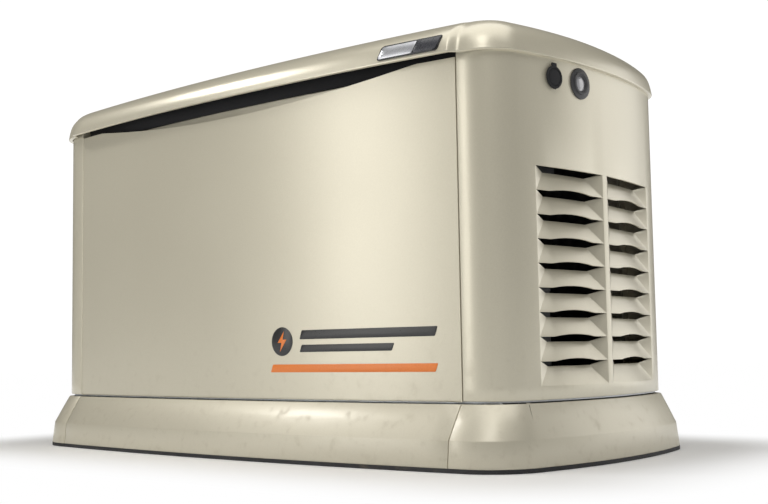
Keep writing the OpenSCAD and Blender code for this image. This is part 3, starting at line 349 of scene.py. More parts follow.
def corner_arc(hl, hw, r, steps=14):
    """The rear right corner's arc, from the side round to the end."""
    cx, cy, start, stop = corner_facts(hl, hw, r)
    angles = [start + (stop - start) * i / steps for i in range(steps + 1)]
    return [(cx + r * math.cos(a), cy + r * math.sin(a)) for a in angles]


def end_path(hl, hw, r, end_stations):
    """From the front seam round the right end to the rear seam."""
    arc = corner_arc(hl, hw, r)
    half = [(seam_x, side_y(seam_x, hw))] + arc
    middle = [(end_x(y, hl, hw, r), y) for y in end_stations]
    return [(x, -y) for x, y in half] + middle + half[::-1]


def spread(low, high, count):
    return [low + (high - low) * i / count for i in range(count + 1)]


def front_path(hw, half, steps=28):
    return [(x, -side_y(x, hw)) for x in spread(-half, half, steps)]


def folded(path, depth):
    """A path with a flange turned inwards at both of its ends."""
    (x0, y0), (x1, y1) = path[0], path[-1]
    return [(x0, y0 - math.copysign(depth, y0))] + path + [(x1, y1 - math.copysign(depth, y1))]


print("body half sizes", round(body_hl, 4), round(body_hw, 4), "lid", round(lid_hl, 4))

# %% [markdown]
# Sheet-metal skins are raised like a drawn curtain: a row of points becomes a row of
# edges, and each extrusion lifts the row to its next level. Every point keeps its place
# in a grid, so a fold or an opening can be found again by row and column. A wall is then
# given its thickness, and edges sharper than an angle are kept crisp.

# %% Sheets, walls and pieces


def first_row(bm, points, closed):
    verts = [bm.verts.new(p) for p in points]
    pairs = zip(verts, verts[1:] + verts[:1] if closed else verts[1:])
    return verts, [bm.edges.new(pair) for pair in pairs]


def next_row(bm, verts, edges, points):
    made = bmesh.ops.extrude_edge_only(bm, edges=edges)["geom"]
    fresh = {v for v in made if isinstance(v, bmesh.types.BMVert)}
    above = [next(e.other_vert(v) for e in v.link_edges if e.other_vert(v) in fresh)
             for v in verts]
    for vert, point in zip(above, points):
        vert.co = point
    lifted = [e for e in made if isinstance(e, bmesh.types.BMEdge)
              and e.verts[0] in fresh and e.verts[1] in fresh]
    return above, lifted


def raise_sheet(rows, closed=False):
    """A sheet through rows of points; returns the mesh and its grid of vertices."""
    bm = bmesh.new()
    verts, edges = first_row(bm, rows[0], closed)
    grid = [verts]
    for points in rows[1:]:
        verts, edges = next_row(bm, verts, edges, points)
        grid.append(verts)
    return bm, grid


def face_outwards(bm, middle=Vector((0, 0, 0.3))):
    """Turns the whole sheet if most of it looks at the machine's middle."""
    bm.normal_update()
    vote = sum(f.calc_area() * f.normal.dot(f.calc_center_median() - middle) for f in bm.faces)
    if vote < 0:
        bmesh.ops.reverse_faces(bm, faces=bm.faces[:])


def soften(bm, edges, width, segments=2):
    bmesh.ops.bevel(bm, geom=edges, offset=width, segments=segments, profile=0.5,
                    affect="EDGES", material=-1, clamp_overlap=True)


def crisp(bm, degrees):
    bm.normal_update()
    for face in bm.faces:
        face.smooth = True
    for edge in bm.edges:
        edge.smooth = not (len(edge.link_faces) != 2
                           or edge.calc_face_angle(0) > math.radians(degrees))


def piece(bm, name, body, slot, finish=None, stands_for=(), wall=0.0, degrees=32, even=True):
    """Turns a finished mesh into a named piece of the machine."""
    mesh = bpy.data.meshes.new(name)
    bm.to_mesh(mesh)
    bm.free()
    obj = bpy.data.objects.new(name, mesh)
    bpy.context.scene.collection.objects.link(obj)
    if wall:
        thick = obj.modifiers.new("wall", "SOLIDIFY")
        thick.thickness, thick.offset, thick.use_even_offset = wall, -1, even
        graph = bpy.context.evaluated_depsgraph_get()
        walled = bpy.data.meshes.new_from_object(obj.evaluated_get(graph))
        obj.modifiers.clear()
        obj.data = walled
        walled.name = name
    shade = bmesh.new()
    shade.from_mesh(obj.data)
    crisp(shade, degrees)
    shade.to_mesh(obj.data)
    shade.free()
    for material in finish if isinstance(finish, (list, tuple)) else [finish or finishes[slot]]:
        obj.data.materials.append(material)
    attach(obj, body)
    if stands_for:
        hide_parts(*stands_for)
    print(name, len(obj.data.polygons), "faces")
    return obj


# %% [markdown]
# Each end of the enclosure is one sheet: a flange on the seam, a round corner, the bowed
# end face and the same again behind. Two columns of louvres are pressed into it. A press
# slits the sheet and pushes the metal under each slit inwards, so a slot opens above and
# the blade slopes back out to the face, with a triangular cheek at each side. Here the
# sheet gets its rows at the slit heights; the slots are deleted, the cheeks get their
# diagonals, and the blades' top corners are pushed in.

# %% End panels
LOUVRE_ROWS, PITCH, LOUVRE_TOP, SLOT = 9, 37 * MM, 454 * MM, 7.5 * MM
COLUMN_IN, COLUMN_OUT, CHEEK, PUSH = 7 * MM, 175 * MM, 32 * MM, 15 * MM
ARCH, CURL, FLANGE, SHEET = 4 * MM, 4 * MM, 20 * MM, 2 * MM

column = [COLUMN_IN] + spread(COLUMN_IN + CHEEK, COLUMN_OUT - CHEEK, 6) + [COLUMN_OUT]
tip_y = corner_arc(body_hl, body_hw, BODY_R)[-1][1]
stations = [-0.95 * tip_y] + [-y for y in column[::-1]] + column + [0.95 * tip_y]
slit_tops = [LOUVRE_TOP - PITCH * i for i in range(LOUVRE_ROWS + 1)]


def end_sheet():
    """The right end panel's sheet, with its grid, slits still closed."""
    heights = [panel_z, panel_z, slit_tops[-1]]
    for top in slit_tops[-2::-1]:
        heights += [top - SLOT, top]
    heights.append(wall_top)
    rows = []
    for i, z in enumerate(heights):
        inset = 10 * MM if i == 0 else 0.0
        path = end_path(body_hl - inset, body_hw - inset, BODY_R - inset, stations)
        rows.append([(x, y, z) for x, y in folded(path, FLANGE - inset)])
    return raise_sheet(rows) + (heights,)


def split(vert_a, vert_b):
    for face in set(vert_a.link_faces) & set(vert_b.link_faces):
        bmesh.utils.face_split(face, vert_a, vert_b)
        return


def between(*verts):
    """The face that has all of these corners."""
    return set.intersection(*[set(v.link_faces) for v in verts]).pop()


def press_louvres(bm, grid):
    first = (len(grid[0]) - len(stations)) // 2 + 1
    width = len(column)
    slots, soft = [], []
    for side in (0, 1):
        left = first + side * width
        cols = list(range(left, left + width))
        for k in range(LOUVRE_ROWS):
            lip, sill, slit = grid[2 + 2 * k], grid[3 + 2 * k], grid[4 + 2 * k]
            for outer, inner in ((cols[0], cols[1]), (cols[-1], cols[-2])):
                split(slit[outer], sill[inner])
                slots.append(between(slit[outer], slit[inner], sill[inner]))
                split(sill[inner], lip[outer])
                soft.append((sill[inner], lip[outer]))
                soft.append((sill[outer], lip[outer]))
                soft.append((sill[outer], slit[outer]))
            for a, b in zip(cols[1:-2], cols[2:-1]):
                slots.append(between(slit[a], slit[b], sill[a], sill[b]))
            middle = (column[0] + column[-1]) / 2
            reach = (column[-1] - column[0]) / 2 - CHEEK
            for c in cols[1:-1]:
                sill[c].co.x -= PUSH
                share = (abs(sill[c].co.y) - middle) / reach
                if k < LOUVRE_ROWS - 1:
                    slit[c].co.z += ARCH * (1 - share * share)
                soft.append((lip[c], lip[c + 1]))
            soft.append((lip[cols[0]], lip[cols[1]]))
    bmesh.ops.delete(bm, geom=slots, context="FACES_ONLY")
    return soft


def curl_slits(bm, grid):
    """Turns each slit's upper edge inwards, as the press leaves it."""
    edges = []
    for k in range(LOUVRE_ROWS):
        slit = grid[4 + 2 * k]
        for a, b in zip(slit, slit[1:]):
            edge = bm.edges.get((a, b))
            if edge and len(edge.link_faces) == 1:
                edges.append(edge)
    made = bmesh.ops.extrude_edge_only(bm, edges=edges)["geom"]
    for vert in (v for v in made if isinstance(v, bmesh.types.BMVert)):
        at_end = min(abs(abs(vert.co.y) - COLUMN_IN), abs(abs(vert.co.y) - COLUMN_OUT)) < MM
        vert.co.x -= 0.6 * MM if at_end else CURL
    return edges


def end_panel(name, node, mirrored):
    bm, grid, _ = end_sheet()
    soft = press_louvres(bm, grid)
    curled = curl_slits(bm, grid)
    edges = {e for e in (bm.edges.get(pair) for pair in soft) if e} | set(curled)
    folds = [bm.edges.get((a[c], b[c])) for c in (1, len(grid[0]) - 2)
             for a, b in zip(grid[1:], grid[2:])]
    folds += [bm.edges.get((a, b)) for a, b in zip(grid[1][1:-1], grid[1][2:-1])]
    face_outwards(bm)
    soften(bm, [e for e in edges if len(e.link_faces) == 2], 1.1 * MM, 2)
    soften(bm, [e for e in folds if e and e.is_valid], 1.4 * MM, 2)
    if mirrored:
        bmesh.ops.scale(bm, vec=(-1, 1, 1), verts=bm.verts[:])
        bmesh.ops.reverse_faces(bm, faces=bm.faces[:])
    return piece(bm, name, "root", "beige_paint", beige_coat, [node], SHEET)


end_panel("right_end_skin", "right_end_panel", False)
end_panel("left_end_skin", "left_end_panel", True)

# %% [markdown]
# The front panel lifts away for service. Its sides and bottom are folded back, and its
# top edge dips in one long arc, so fingers reach the lid's brow. The top row of the sheet
# simply follows that arc, and an inward roll stiffens the edge.

# %% Front panel
SCOOP_HALF, SCOOP_DEPTH = 400 * MM, 27 * MM
front_top = front_high.z
arc_r = (SCOOP_HALF ** 2 + SCOOP_DEPTH ** 2) / (2 * SCOOP_DEPTH)


def scooped(x):
    """Height of the front panel's top edge at x."""
    if abs(x) > SCOOP_HALF:
        return front_top
    return front_top - SCOOP_DEPTH + arc_r - math.sqrt(arc_r ** 2 - x ** 2)


def front_sheet():
    rows = []
    for inset, share in ((12, 0), (0, 0), (0, 0.5), (0, 0.93), (0, 1), (9, 1), (9.5, 0.985)):
        path = folded(front_path(body_hw - inset * MM, front_half, 40), FLANGE - inset * MM)
        rows.append([(x, y, front_low.z + (scooped(x) - front_low.z) * share) for x, y in path])
    return raise_sheet(rows)


bm, grid = front_sheet()
folds = [bm.edges.get((a[c], b[c])) for c in (1, -2) for a, b in zip(grid[1:], grid[2:])]
for row in (grid[1], grid[4], grid[5]):
    folds += [bm.edges.get(pair) for pair in zip(row[1:-1], row[2:-1])]
face_outwards(bm)
soften(bm, [e for e in folds if e], 1.3 * MM, 2)
piece(bm, "front_panel_skin", "front_panel", "beige_paint", beige_coat, ["front_panel"], SHEET)

# %% [markdown]
# Four mouldings skirt the base: an upright band, a soft break, and a slope that climbs to
# the enclosure. They are moulded in the enclosure's colour with a little more texture.
# The same rows of points serve all four, drawn as a front piece and as an end piece, and
# turned half a circle for the far side.

# %% Base mouldings
BREAK_Z, TOP_Z, DRAFT, MOULD_T = 46 * MM, 97 * MM, 3.5 * MM, 3 * MM
SLOPE_END, SLOPE_SIDE = base_hl - body_hl - 4 * MM, base_hw - body_hw - 4 * MM
# Share of the slope, draft and height of each row, then a further inset.
moulding_rows = [(0, 0, 7 * MM, 9 * MM), (0, 0, 6 * MM, 0.8 * MM), (0, 0.2 * MM, 7.5 * MM, 0),
                 (0, 0.9 * DRAFT, 0.88 * BREAK_Z, 0), (0.01, DRAFT, BREAK_Z, 0),
                 (0.5, DRAFT * 0.5, (BREAK_Z + TOP_Z) / 2, 0), (0.985, 0, TOP_Z - 1.2 * MM, 0),
                 (1, 0, TOP_Z, 1 * MM), (1, 0, TOP_Z - 0.4 * MM, 8 * MM)]
base_stations = spread(-0.92 * (base_hw - BASE_R), 0.92 * (base_hw - BASE_R), 12)


def moulding(at_end):
    rows = []
    for share, draft, z, inset in moulding_rows:
        hl = base_hl - share * SLOPE_END - draft - inset
        hw = base_hw - share * SLOPE_SIDE - draft - inset
        r = BASE_R + (BODY_R + 4 * MM - BASE_R) * share - inset
        if at_end:
            path = end_path(hl, hw, r, base_stations)
        else:
            path = front_path(hw, front_half)
        rows.append([(x, y, z) for x, y in folded(path, 12 * MM - inset)])
    bm, grid = raise_sheet(rows)
    face_outwards(bm)
    edges = [bm.edges.get(pair) for pair in zip(grid[4][1:-1], grid[4][2:-1])]
    edges += [bm.edges.get((a[c], b[c])) for c in (1, -2) for a, b in zip(grid[1:], grid[2:])]
    soften(bm, [e for e in edges if e], 1.6 * MM, 2)
    return bm


for name, at_end, far_side in (("fascia_front", False, False), ("fascia_rear", False, True),
                               ("fascia_right", True, False), ("fascia_left", True, True)):
    bm = moulding(at_end)
    if far_side:
        bmesh.ops.rotate(bm, verts=bm.verts[:], matrix=Matrix.Rotation(math.pi, 3, "Z"))
    piece(bm, name.replace("fascia", "moulding"), "root", "beige_paint", base_coat, [name], MOULD_T,
          even=False)

# %% [markdown]
# The lid is one deep drawing: a rolled lip, a wide shoulder and a low crown that sheds
# rain. Its front stands out as a brow between two short steps, and that brow is what the
# hand lifts. The outline is raised level by level along the shoulder's profile, then drawn
# in over the crown in shrinking rings that close at the middle.

# %% Lid
# Inset and height above the lip of the shoulder's profile.
shoulder = [(0, 0), (2, 12), (6, 26), (12, 36), (21, 45), (34, 53)]
BROW_FADE = [(0, 1.0), (12, 1.0), (26, 0.9), (36, 0.75), (45, 0.5), (53, 0.3)]
STEP_X = 14 * MM
crown_rise = (crown_z - lip_z) / MM - shoulder[-1][1]


def smooth_through(points, per_span):
    """Extra points on a smooth curve through the given ones."""
    out = []
    for i in range(len(points) - 1):
        p0, p1 = points[max(i - 1, 0)], points[i]
        p2, p3 = points[i + 1], points[min(i + 2, len(points) - 1)]
        for s in range(per_span):
            t = s / per_span
            out.append(tuple(0.5 * (2 * b + (c - a) * t + (2 * a - 5 * b + 4 * c - d) * t * t
                                    + (3 * b - a - 3 * c + d) * t ** 3)
                             for a, b, c, d in zip(p0, p1, p2, p3)))
    return out + [points[-1]]


def brow_share(height):
    for (z0, f0), (z1, f1) in zip(BROW_FADE, BROW_FADE[1:]):
        if height <= z1:
            return f0 + (f1 - f0) * max(height - z0, 0) / (z1 - z0)
    return BROW_FADE[-1][1]


def brow_at(x):
    """1 along the brow, falling to 0 over the step at each of its ends."""
    t = min(max((seam_x + STEP_X - abs(x)) / STEP_X, 0), 1)
    return t * t * (3 - 2 * t)


def lid_loop(inset, height):
    """The lid's whole outline at one level."""
    hl, hw, r = lid_hl - inset, lid_hw - inset, max(LID_R - inset, 20 * MM)
    arc = corner_arc(hl, hw, r)
    along = spread(0, seam_x, 16) + spread(seam_x, seam_x + STEP_X, 5)[1:-1]
    sides = [(x, side_y(x, hw)) for x in along]
    ends = [(end_x(y, hl, hw, r), y) for y in spread(arc[-1][1], 0, 8)[1:]]
    quarter = sides + arc + ends
    right = [(x, -y) for x, y in quarter] + quarter[-2::-1]
    left = [(-x, -y) for x, y in right[1:-1]]
    push = brow_out * brow_share(height)
    return [(x, y - push * brow_at(x) if y < 0 else y) for x, y in right + left]


def dome(x, y):
    inset = shoulder[-1][0] * MM
    u, v = x / (lid_hl - inset), y / side_y(x, lid_hw - inset)
    return lip_z + (shoulder[-1][1] + crown_rise * max(0, 1 - u * u) * max(0, 1 - v * v)) * MM


lid_rows = []
rolled_lip = [(8, 0.5), (1.6, 0.0), (0.5, 0.5), (0.1, 1.6)]
for inset, height in rolled_lip + smooth_through(shoulder, 3)[1:]:
    loop = lid_loop(inset * MM, height)
    lid_rows.append([(x, y, lip_z + height * MM) for x, y in loop])
rim = lid_loop(shoulder[-1][0] * MM, shoulder[-1][1])
for scale in (0.97, 0.93, 0.87, 0.8, 0.7, 0.6, 0.5, 0.4, 0.3, 0.2, 0.1, 0.02):
    lid_rows.append([(x * scale, y * scale, dome(x * scale, y * scale)) for x, y in rim])
bm, grid = raise_sheet(lid_rows, closed=True)
bmesh.ops.contextual_create(bm, geom=grid[-1])
face_outwards(bm)
piece(bm, "lid_skin", "lid", "beige_paint", beige_coat, ["lid"], 2.2 * MM, degrees=40)

# %% [markdown]
# A badge is stuck on the brow: a dark rim round a silver field and a dark field, cut on a
# slant with round corners. Its lettering is left out. A flat plate is cut into strips and
# bent to the brow, the way the soft plastic follows it.

# %% Badge
badge_low, badge_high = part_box("lid_badge")
LEAN = 6 * MM


def brow_y(x, z):
    height = (z - lip_z) / MM
    inset = next(a[0] + (b[0] - a[0]) * (height - a[1]) / (b[1] - a[1])
                 for a, b in zip(shoulder, shoulder[1:]) if height <= b[1])
    return -side_y(x, lid_hw - inset * MM) - brow_out * brow_share(height)


def slanted_plate(x0, x1, z0, z1, lean, radius):
    """A flat plate in X and Z with slanted ends and round corners."""
    bm = bmesh.new()
    mid, tall = (z0 + z1) / 2, z1 - z0
    corners = [(x0, z0), (x1, z0), (x1, z1), (x0, z1)]
    verts = [bm.verts.new((x + lean * (z - mid) / tall, 0, z)) for x, z in corners]
    bm.faces.new(verts)
    bmesh.ops.bevel(bm, geom=bm.verts[:], offset=radius, segments=5, profile=0.5,
                    affect="VERTICES", material=-1)
    return bm


def lift(bm, height, rounding):
    """Gives a flat plate its thickness towards -Y, with a rounded front edge."""
    face = bm.faces[:][0]
    made = bmesh.ops.extrude_face_region(bm, geom=[face])["geom"]
    top = [v for v in made if isinstance(v, bmesh.types.BMVert)]
    bmesh.ops.translate(bm, verts=top, vec=(0, -height, 0))
    rim_edges = [e for e in bm.edges if e.verts[0] in top and e.verts[1] in top]
    bmesh.ops.recalc_face_normals(bm, faces=bm.faces[:])
    soften(bm, rim_edges, rounding, 2)


def strips(bm, step):
    """Cuts a plate across X so that it can bend."""
    low, high = min(v.co.x for v in bm.verts), max(v.co.x for v in bm.verts)
    for x in spread(low, high, max(2, int((high - low) / step)))[1:-1]:
        bmesh.ops.bisect_plane(bm, geom=bm.verts[:] + bm.edges[:] + bm.faces[:],
                               plane_co=(x, 0, 0), plane_no=(1, 0, 0))


def bend_to(bm, surface, gap):
    for vert in bm.verts:
        vert.co.y += surface(vert.co.x, vert.co.z) - gap


silver_field = grained("badge_silver", (0.66, 0.67, 0.70), (0.56, 0.57, 0.60), 0.30, 700.0, 0.00004,
                       0.75, stretch=(1, 1, 14))
dark_field = grained("badge_dark", (0.055, 0.057, 0.065), (0.035, 0.036, 0.042), 0.28, 500.0,
                     0.00004)
bx0, bx1 = badge_low.x + LEAN / 2, badge_high.x - LEAN / 2
for name, start, stop, edge, out, thick, finish in (
        ("badge_rim", 0, 1, 0, 0.2, 2.3, None),
        ("badge_silver_field", 0, 0.6, 2.6, 2.3, 0.4, silver_field),
        ("badge_dark_field", 0.6, 1, 2.6, 2.3, 0.4, dark_field)):
    x0, x1 = bx0 + (bx1 - bx0) * start, bx0 + (bx1 - bx0) * stop
    x0, x1 = x0 + (edge if start == 0 else 0.6) * MM, x1 - (edge if stop == 1 else 0.6) * MM
    bm = slanted_plate(x0, x1, badge_low.z + edge * MM, badge_high.z - edge * MM, LEAN,
                       (5 if edge == 0 else 3) * MM)
    lift(bm, thick * MM, 0.35 * MM if edge else 0.8 * MM)
    strips(bm, 14 * MM)
    bend_to(bm, brow_y, out * MM)
    piece(bm, name, "lid", "badge_plastic", finish or finishes["badge_plastic"],
          ["lid_badge"] if edge == 0 else (), degrees=35)

# %% [markdown]
# Low on the front panel the maker puts a large decal. Here it is a generic one: a round
# dark sign with a lightning bolt, two dark bars, and one long orange bar. Vinyl is cut
# from thin sheet, so each shape is a flat outline bent to the panel a hair above it.

# %% Front decal
vinyl_dark = grained("dark_vinyl", (0.030, 0.030, 0.030), (0.020, 0.020, 0.020), 0.30, 500.0,
                     0.00002)
vinyl_orange = grained("orange_vinyl", (0.86, 0.235, 0.035), (0.78, 0.195, 0.025), 0.32, 500.0,
                       0.00002)
VINYL = 0.15 * MM
DECAL_X, DECAL_TOP = (96 * MM, 432 * MM), 220 * MM


def panel_face(x, z):
    return -side_y(x, body_hw)


def vinyl(bm, name, finish, gap=0.2):
    face = bm.faces[:][0]
    if face.normal.y > 0:
        face.normal_flip()
    lift(bm, VINYL, VINYL / 3)
    strips(bm, 12 * MM)
    bend_to(bm, panel_face, gap * MM)
    piece(bm, name, "front_panel", "beige_paint", finish)


bm = bmesh.new()
SIGN_R = 24 * MM
bmesh.ops.create_circle(bm, cap_ends=True, segments=48, radius=SIGN_R,
                        matrix=Matrix.Translation((DECAL_X[0] + SIGN_R, 0, DECAL_TOP - SIGN_R))
                        @ Matrix.Rotation(math.pi / 2, 4, "X"))
bm.normal_update()
vinyl(bm, "decal_sign", vinyl_dark)
bolt = [(0.18, 0.72), (-0.42, -0.08), (-0.06, -0.08), (-0.2, -0.72), (0.42, 0.14), (0.06, 0.14)]
bm = bmesh.new()
bm.faces.new([bm.verts.new((DECAL_X[0] + SIGN_R * (1 + x), 0, DECAL_TOP - SIGN_R * (1 - z)))
              for x, z in bolt])
bm.normal_update()
vinyl(bm, "decal_bolt", vinyl_orange, 0.4)
for name, x0, x1, low, high, finish in (
        ("decal_bar_upper", 162, 432, 199, 214, vinyl_dark),
        ("decal_bar_lower", 162, 352, 178, 190, vinyl_dark),
        ("decal_bar_orange", 96, 432, 145, 158, vinyl_orange)):
    bm = slanted_plate(x0 * MM, x1 * MM, low * MM, high * MM, 5 * MM, 2 * MM)
    bm.normal_update()
    vinyl(bm, name, finish)

# %% [markdown]
# The lid lock hides under a round rubber cover, which hangs from a tab and flips up. It is
# turned as a profile round the lock's axis, like a bottle cap: a raised rim, a groove and
# a faintly domed middle. The sight glass beside it is turned the same way, as two stepped
# rings with a lens sunk in the middle. A turned part is made flat, facing up, and then
# laid against the panel by one matrix.

# %% Turned parts on the end faces
cover_low, cover_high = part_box("right_lock_cover")
bezel_low, bezel_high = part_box("sight_glass_bezel")
lens_low, lens_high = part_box("sight_glass_lens")


def turned(profile, steps=48):
    """Spins a profile of radius and height, outwards from the axis, about Z."""
    bm = bmesh.new()
    verts = [bm.verts.new((r, 0, h)) for r, h in profile]
    edges = [bm.edges.new(pair) for pair in zip(verts, verts[1:])]
    bmesh.ops.spin(bm, geom=verts + edges, cent=(0, 0, 0), axis=(0, 0, 1), dvec=(0, 0, 0),
                   angle=2 * math.pi, steps=steps, use_merge=True, use_duplicate=False)
    bmesh.ops.remove_doubles(bm, verts=bm.verts[:], dist=1e-6)
    bmesh.ops.recalc_face_normals(bm, faces=bm.faces[:])
    return bm


def block(bm, low, high, rounding, segments=2):
    """Adds a box between two corners, with rounded edges, to a mesh."""
    made = bmesh.ops.create_cube(bm, size=1.0)["verts"]
    low, high = Vector(low), Vector(high)
    bmesh.ops.scale(bm, vec=high - low, verts=made)
    bmesh.ops.translate(bm, vec=(low + high) / 2, verts=made)
    if rounding:
        soften(bm, list({e for v in made for e in v.link_edges}), rounding, segments)


def on_end(y, z, mirrored=False):
    """Local Z looks out of the end face at y, and local -X looks up."""
    x = end_x(y, body_hl, body_hw, BODY_R)
    ahead_x, behind_x = (end_x(y + s * MM, body_hl, body_hw, BODY_R) for s in (1, -1))
    tilt = Matrix.Rotation(math.atan((behind_x - ahead_x) / (2 * MM)), 4, "Z")
    place = Matrix.Translation((x, y, z)) @ tilt @ Matrix.Rotation(math.pi / 2, 4, "Y")
    return Matrix.Scale(-1, 4, (1, 0, 0)) @ place if mirrored else place


def scaled(profile):
    return [(r * MM, h * MM) for r, h in profile]


def lay(bm, matrix):
    bmesh.ops.transform(bm, matrix=matrix, verts=bm.verts[:])
    if matrix.determinant() < 0:
        bmesh.ops.reverse_faces(bm, faces=bm.faces[:])


LOCK_Y, COVER_R = -132 * MM, 18 * MM
lock_z = cover_low.z + COVER_R
SIGHT_Y = (bezel_low.y + bezel_high.y) / 2
sight_z = (bezel_low.z + bezel_high.z) / 2

for side in ("right", "left"):
    r = COVER_R / MM
    bm = turned(scaled([(0, 5.2), (6, 5.15), (11, 4.9), (12.4, 4.5), (13, 3.9), (13.8, 3.9),
                        (14.4, 4.8), (15.2, 5.5), (16.6, 5.5), (r - 0.5, 4.9), (r, 4.0),
                        (r, 2.9), (r - 0.6, 2.5), (0, 2.5)]))
    block(bm, (-22.6 * MM, -5.5 * MM, 2.6 * MM), (-14 * MM, 5.5 * MM, 5.0 * MM), 0.7 * MM)
    block(bm, (14 * MM, -3.0 * MM, 2.7 * MM), (18.6 * MM, 3.0 * MM, 4.4 * MM), 0.6 * MM)
    lay(bm, on_end(LOCK_Y, lock_z, side == "left"))
    piece(bm, side + "_cover_rubber", side + "_cover", "black_rubber", None, [side + "_lock_cover"])

sight_r = (bezel_high.z - bezel_low.z) / 2 / MM
lens_r = (lens_high.z - lens_low.z) / 2 / MM
bm = turned(scaled([(lens_r, -9), (lens_r, 2.6), (lens_r + 0.8, 3.4), (lens_r + 2.2, 4.0),
                    (lens_r + 2.8, 5.2), (lens_r + 5.4, 5.2), (lens_r + 6.3, 4.6),
                    (lens_r + 6.6, 3.4), (lens_r + 7.4, 3.0), (sight_r - 1.6, 3.2),
                    (sight_r - 0.5, 2.6), (sight_r, 1.6), (sight_r, 0.5), (lens_r + 2.8, 0.5),
                    (lens_r + 2.8, -9), (lens_r, -9)]), 64)
lay(bm, on_end(SIGHT_Y, sight_z))
piece(bm, "sight_bezel_rings", "root", "black_plastic", None, ["sight_glass_bezel"])
bm = turned(scaled([(0, 2.9), (lens_r * 0.5, 2.7), (lens_r * 0.85, 2.1), (lens_r - 0.2, 1.4),
                    (lens_r - 0.1, -1), (0, -1)]), 64)
lay(bm, on_end(SIGHT_Y, sight_z))
piece(bm, "sight_lens_dome", "root", "grey_lens", None, ["sight_glass_lens"])

# %% [markdown]
# Under the brow a black strip runs along the header rail. It stands for a gasket and is
# also painted shade: a dark sheet for the deep dark under the lid's brow. Black sound foam
# lines the inside of the rear panel. Foam is a slab with a lumpy face, so its lumps are
# drawn with cells in the bump, the hollows between them are painted darker as painted
# shade, and its edges are cut square.

# %% Gasket strip with painted shade, and foam
foam = Finish("sound_foam", Roughness=0.95)
lump = foam.cells(52.0, "SMOOTH_F1")["Distance"]
pore = foam.noise(900.0, 2.0)
# The hollows between lumps are painted darker than the lump tops: painted shade.
foam.feed("Base Color", foam.blend(lump.ramp(0.1, 0.7), (0.052, 0.050, 0.048, 1),
                                   (0.014, 0.014, 0.014, 1)))
foam.feed("Roughness", 0.88 + pore * 0.1)
foam.bump(pore * 0.08 - lump, 0.006)

header_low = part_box("header_rail")[0]
header_hw = -header_low.y


def bent_strip(near, far, half, low, high, rounding, steps=28, rear=False):
    """A strip that follows the front's bow between two insets and two heights."""
    rows = []
    for inset, z in ((near, low), (near, high), (far, high), (far, low), (near, low)):
        path = front_path(body_hw - inset, half, steps)
        rows.append([(x, y, z) for x, y in path])
    bm, grid = raise_sheet(rows)
    bmesh.ops.remove_doubles(bm, verts=bm.verts[:], dist=1e-6)
    bmesh.ops.holes_fill(bm, edges=[e for e in bm.edges if e.is_boundary], sides=0)
    bmesh.ops.recalc_face_normals(bm, faces=bm.faces[:])
    if rounding:
        soften(bm, [e for e in bm.edges if e.calc_face_angle(0) > 1.0], rounding, 2)
    if rear:
        bmesh.ops.rotate(bm, verts=bm.verts[:], matrix=Matrix.Rotation(math.pi, 3, "Z"))
    return bm


gap_front = body_hw - header_hw
# A black strip in front of the header rail: partly a gasket, partly painted shade for the deep dark
# under the brow.
bm = bent_strip(gap_front - 5 * MM, gap_front - 0.2 * MM, front_half - 4 * MM, lip_z - 13 * MM,
                wall_top - 1 * MM, 1.6 * MM)
piece(bm, "brow_gasket_and_painted_shade", "root", "black_rubber")
bm = bent_strip(2.4 * MM, 10 * MM, front_half - 52 * MM, panel_z + 12 * MM, wall_top - 40 * MM, 0.0,
                rear=True)
piece(bm, "rear_foam_liner", "root", "black_rubber", foam.material)

# %% [markdown]
# Leads, cables and the wiring loom are round in section and follow a bent path. A ring of
# points is carried along a smooth curve through a few places and drawn out step by step.
# The ring is turned by the least twist between steps, so the tube never wrings itself.

# %% Tubes along a path


def smooth_path(places, steps):
    """Points on a curve that passes through every place."""
    ends = [places[0] * 2 - places[1]] + list(places) + [places[-1] * 2 - places[-2]]
    return [Vector(p) for p in smooth_through(ends, steps)[steps:len(places) * steps + 1]]


def tube(places, radius, sides=12, steps=7, ridge=0.0):
    path = smooth_path([Vector(p) for p in places], steps)
    print("tube length", round(sum((b - a).length for a, b in zip(path, path[1:])), 3), "m")
    heading = (path[1] - path[0]).normalized()
    across = heading.orthogonal().normalized()
    rows = []
    for i, point in enumerate(path):
        ahead = (path[min(i + 1, len(path) - 1)] - path[max(i - 1, 0)]).normalized()
        across = heading.rotation_difference(ahead) @ across
        heading = ahead
        r = radius + (ridge if i % 2 else 0.0)
        beside = heading.cross(across)
        turns = [2 * math.pi * k / sides for k in range(sides)]
        rows.append([point + r * (math.cos(a) * across + math.sin(a) * beside) for a in turns])
    bm, _ = raise_sheet(rows, closed=True)
    bmesh.ops.holes_fill(bm, edges=[e for e in bm.edges if e.is_boundary], sides=0)
    bmesh.ops.recalc_face_normals(bm, faces=bm.faces[:])
    return bm


def joined(*meshes):
    """One mesh that holds several."""
    whole = bmesh.new()
    for bm in meshes:
        step = bpy.data.meshes.new("step")
        bm.to_mesh(step)
        bm.free()
        whole.from_mesh(step)
        bpy.data.meshes.remove(step)
    return whole


def facing(place, axis):
    """A matrix that stands local Z along an axis at a place."""
    return Matrix.Translation(place) @ Vector(axis).to_track_quat("Z", "Y").to_matrix().to_4x4()


def stood(bm, place, axis):
    lay(bm, facing(place, axis))
    return bm


def band(r_in, r_out, width, rounding=1.0):
    """A ring of rectangular section with eased corners, in millimetres, about local Z."""
    half, e = width / 2, rounding
    return turned(scaled([(r_in, -half), (r_out - e, -half), (r_out, e - half), (r_out, half - e),
                          (r_out - e, half), (r_in, half), (r_in, -half)]), 64)


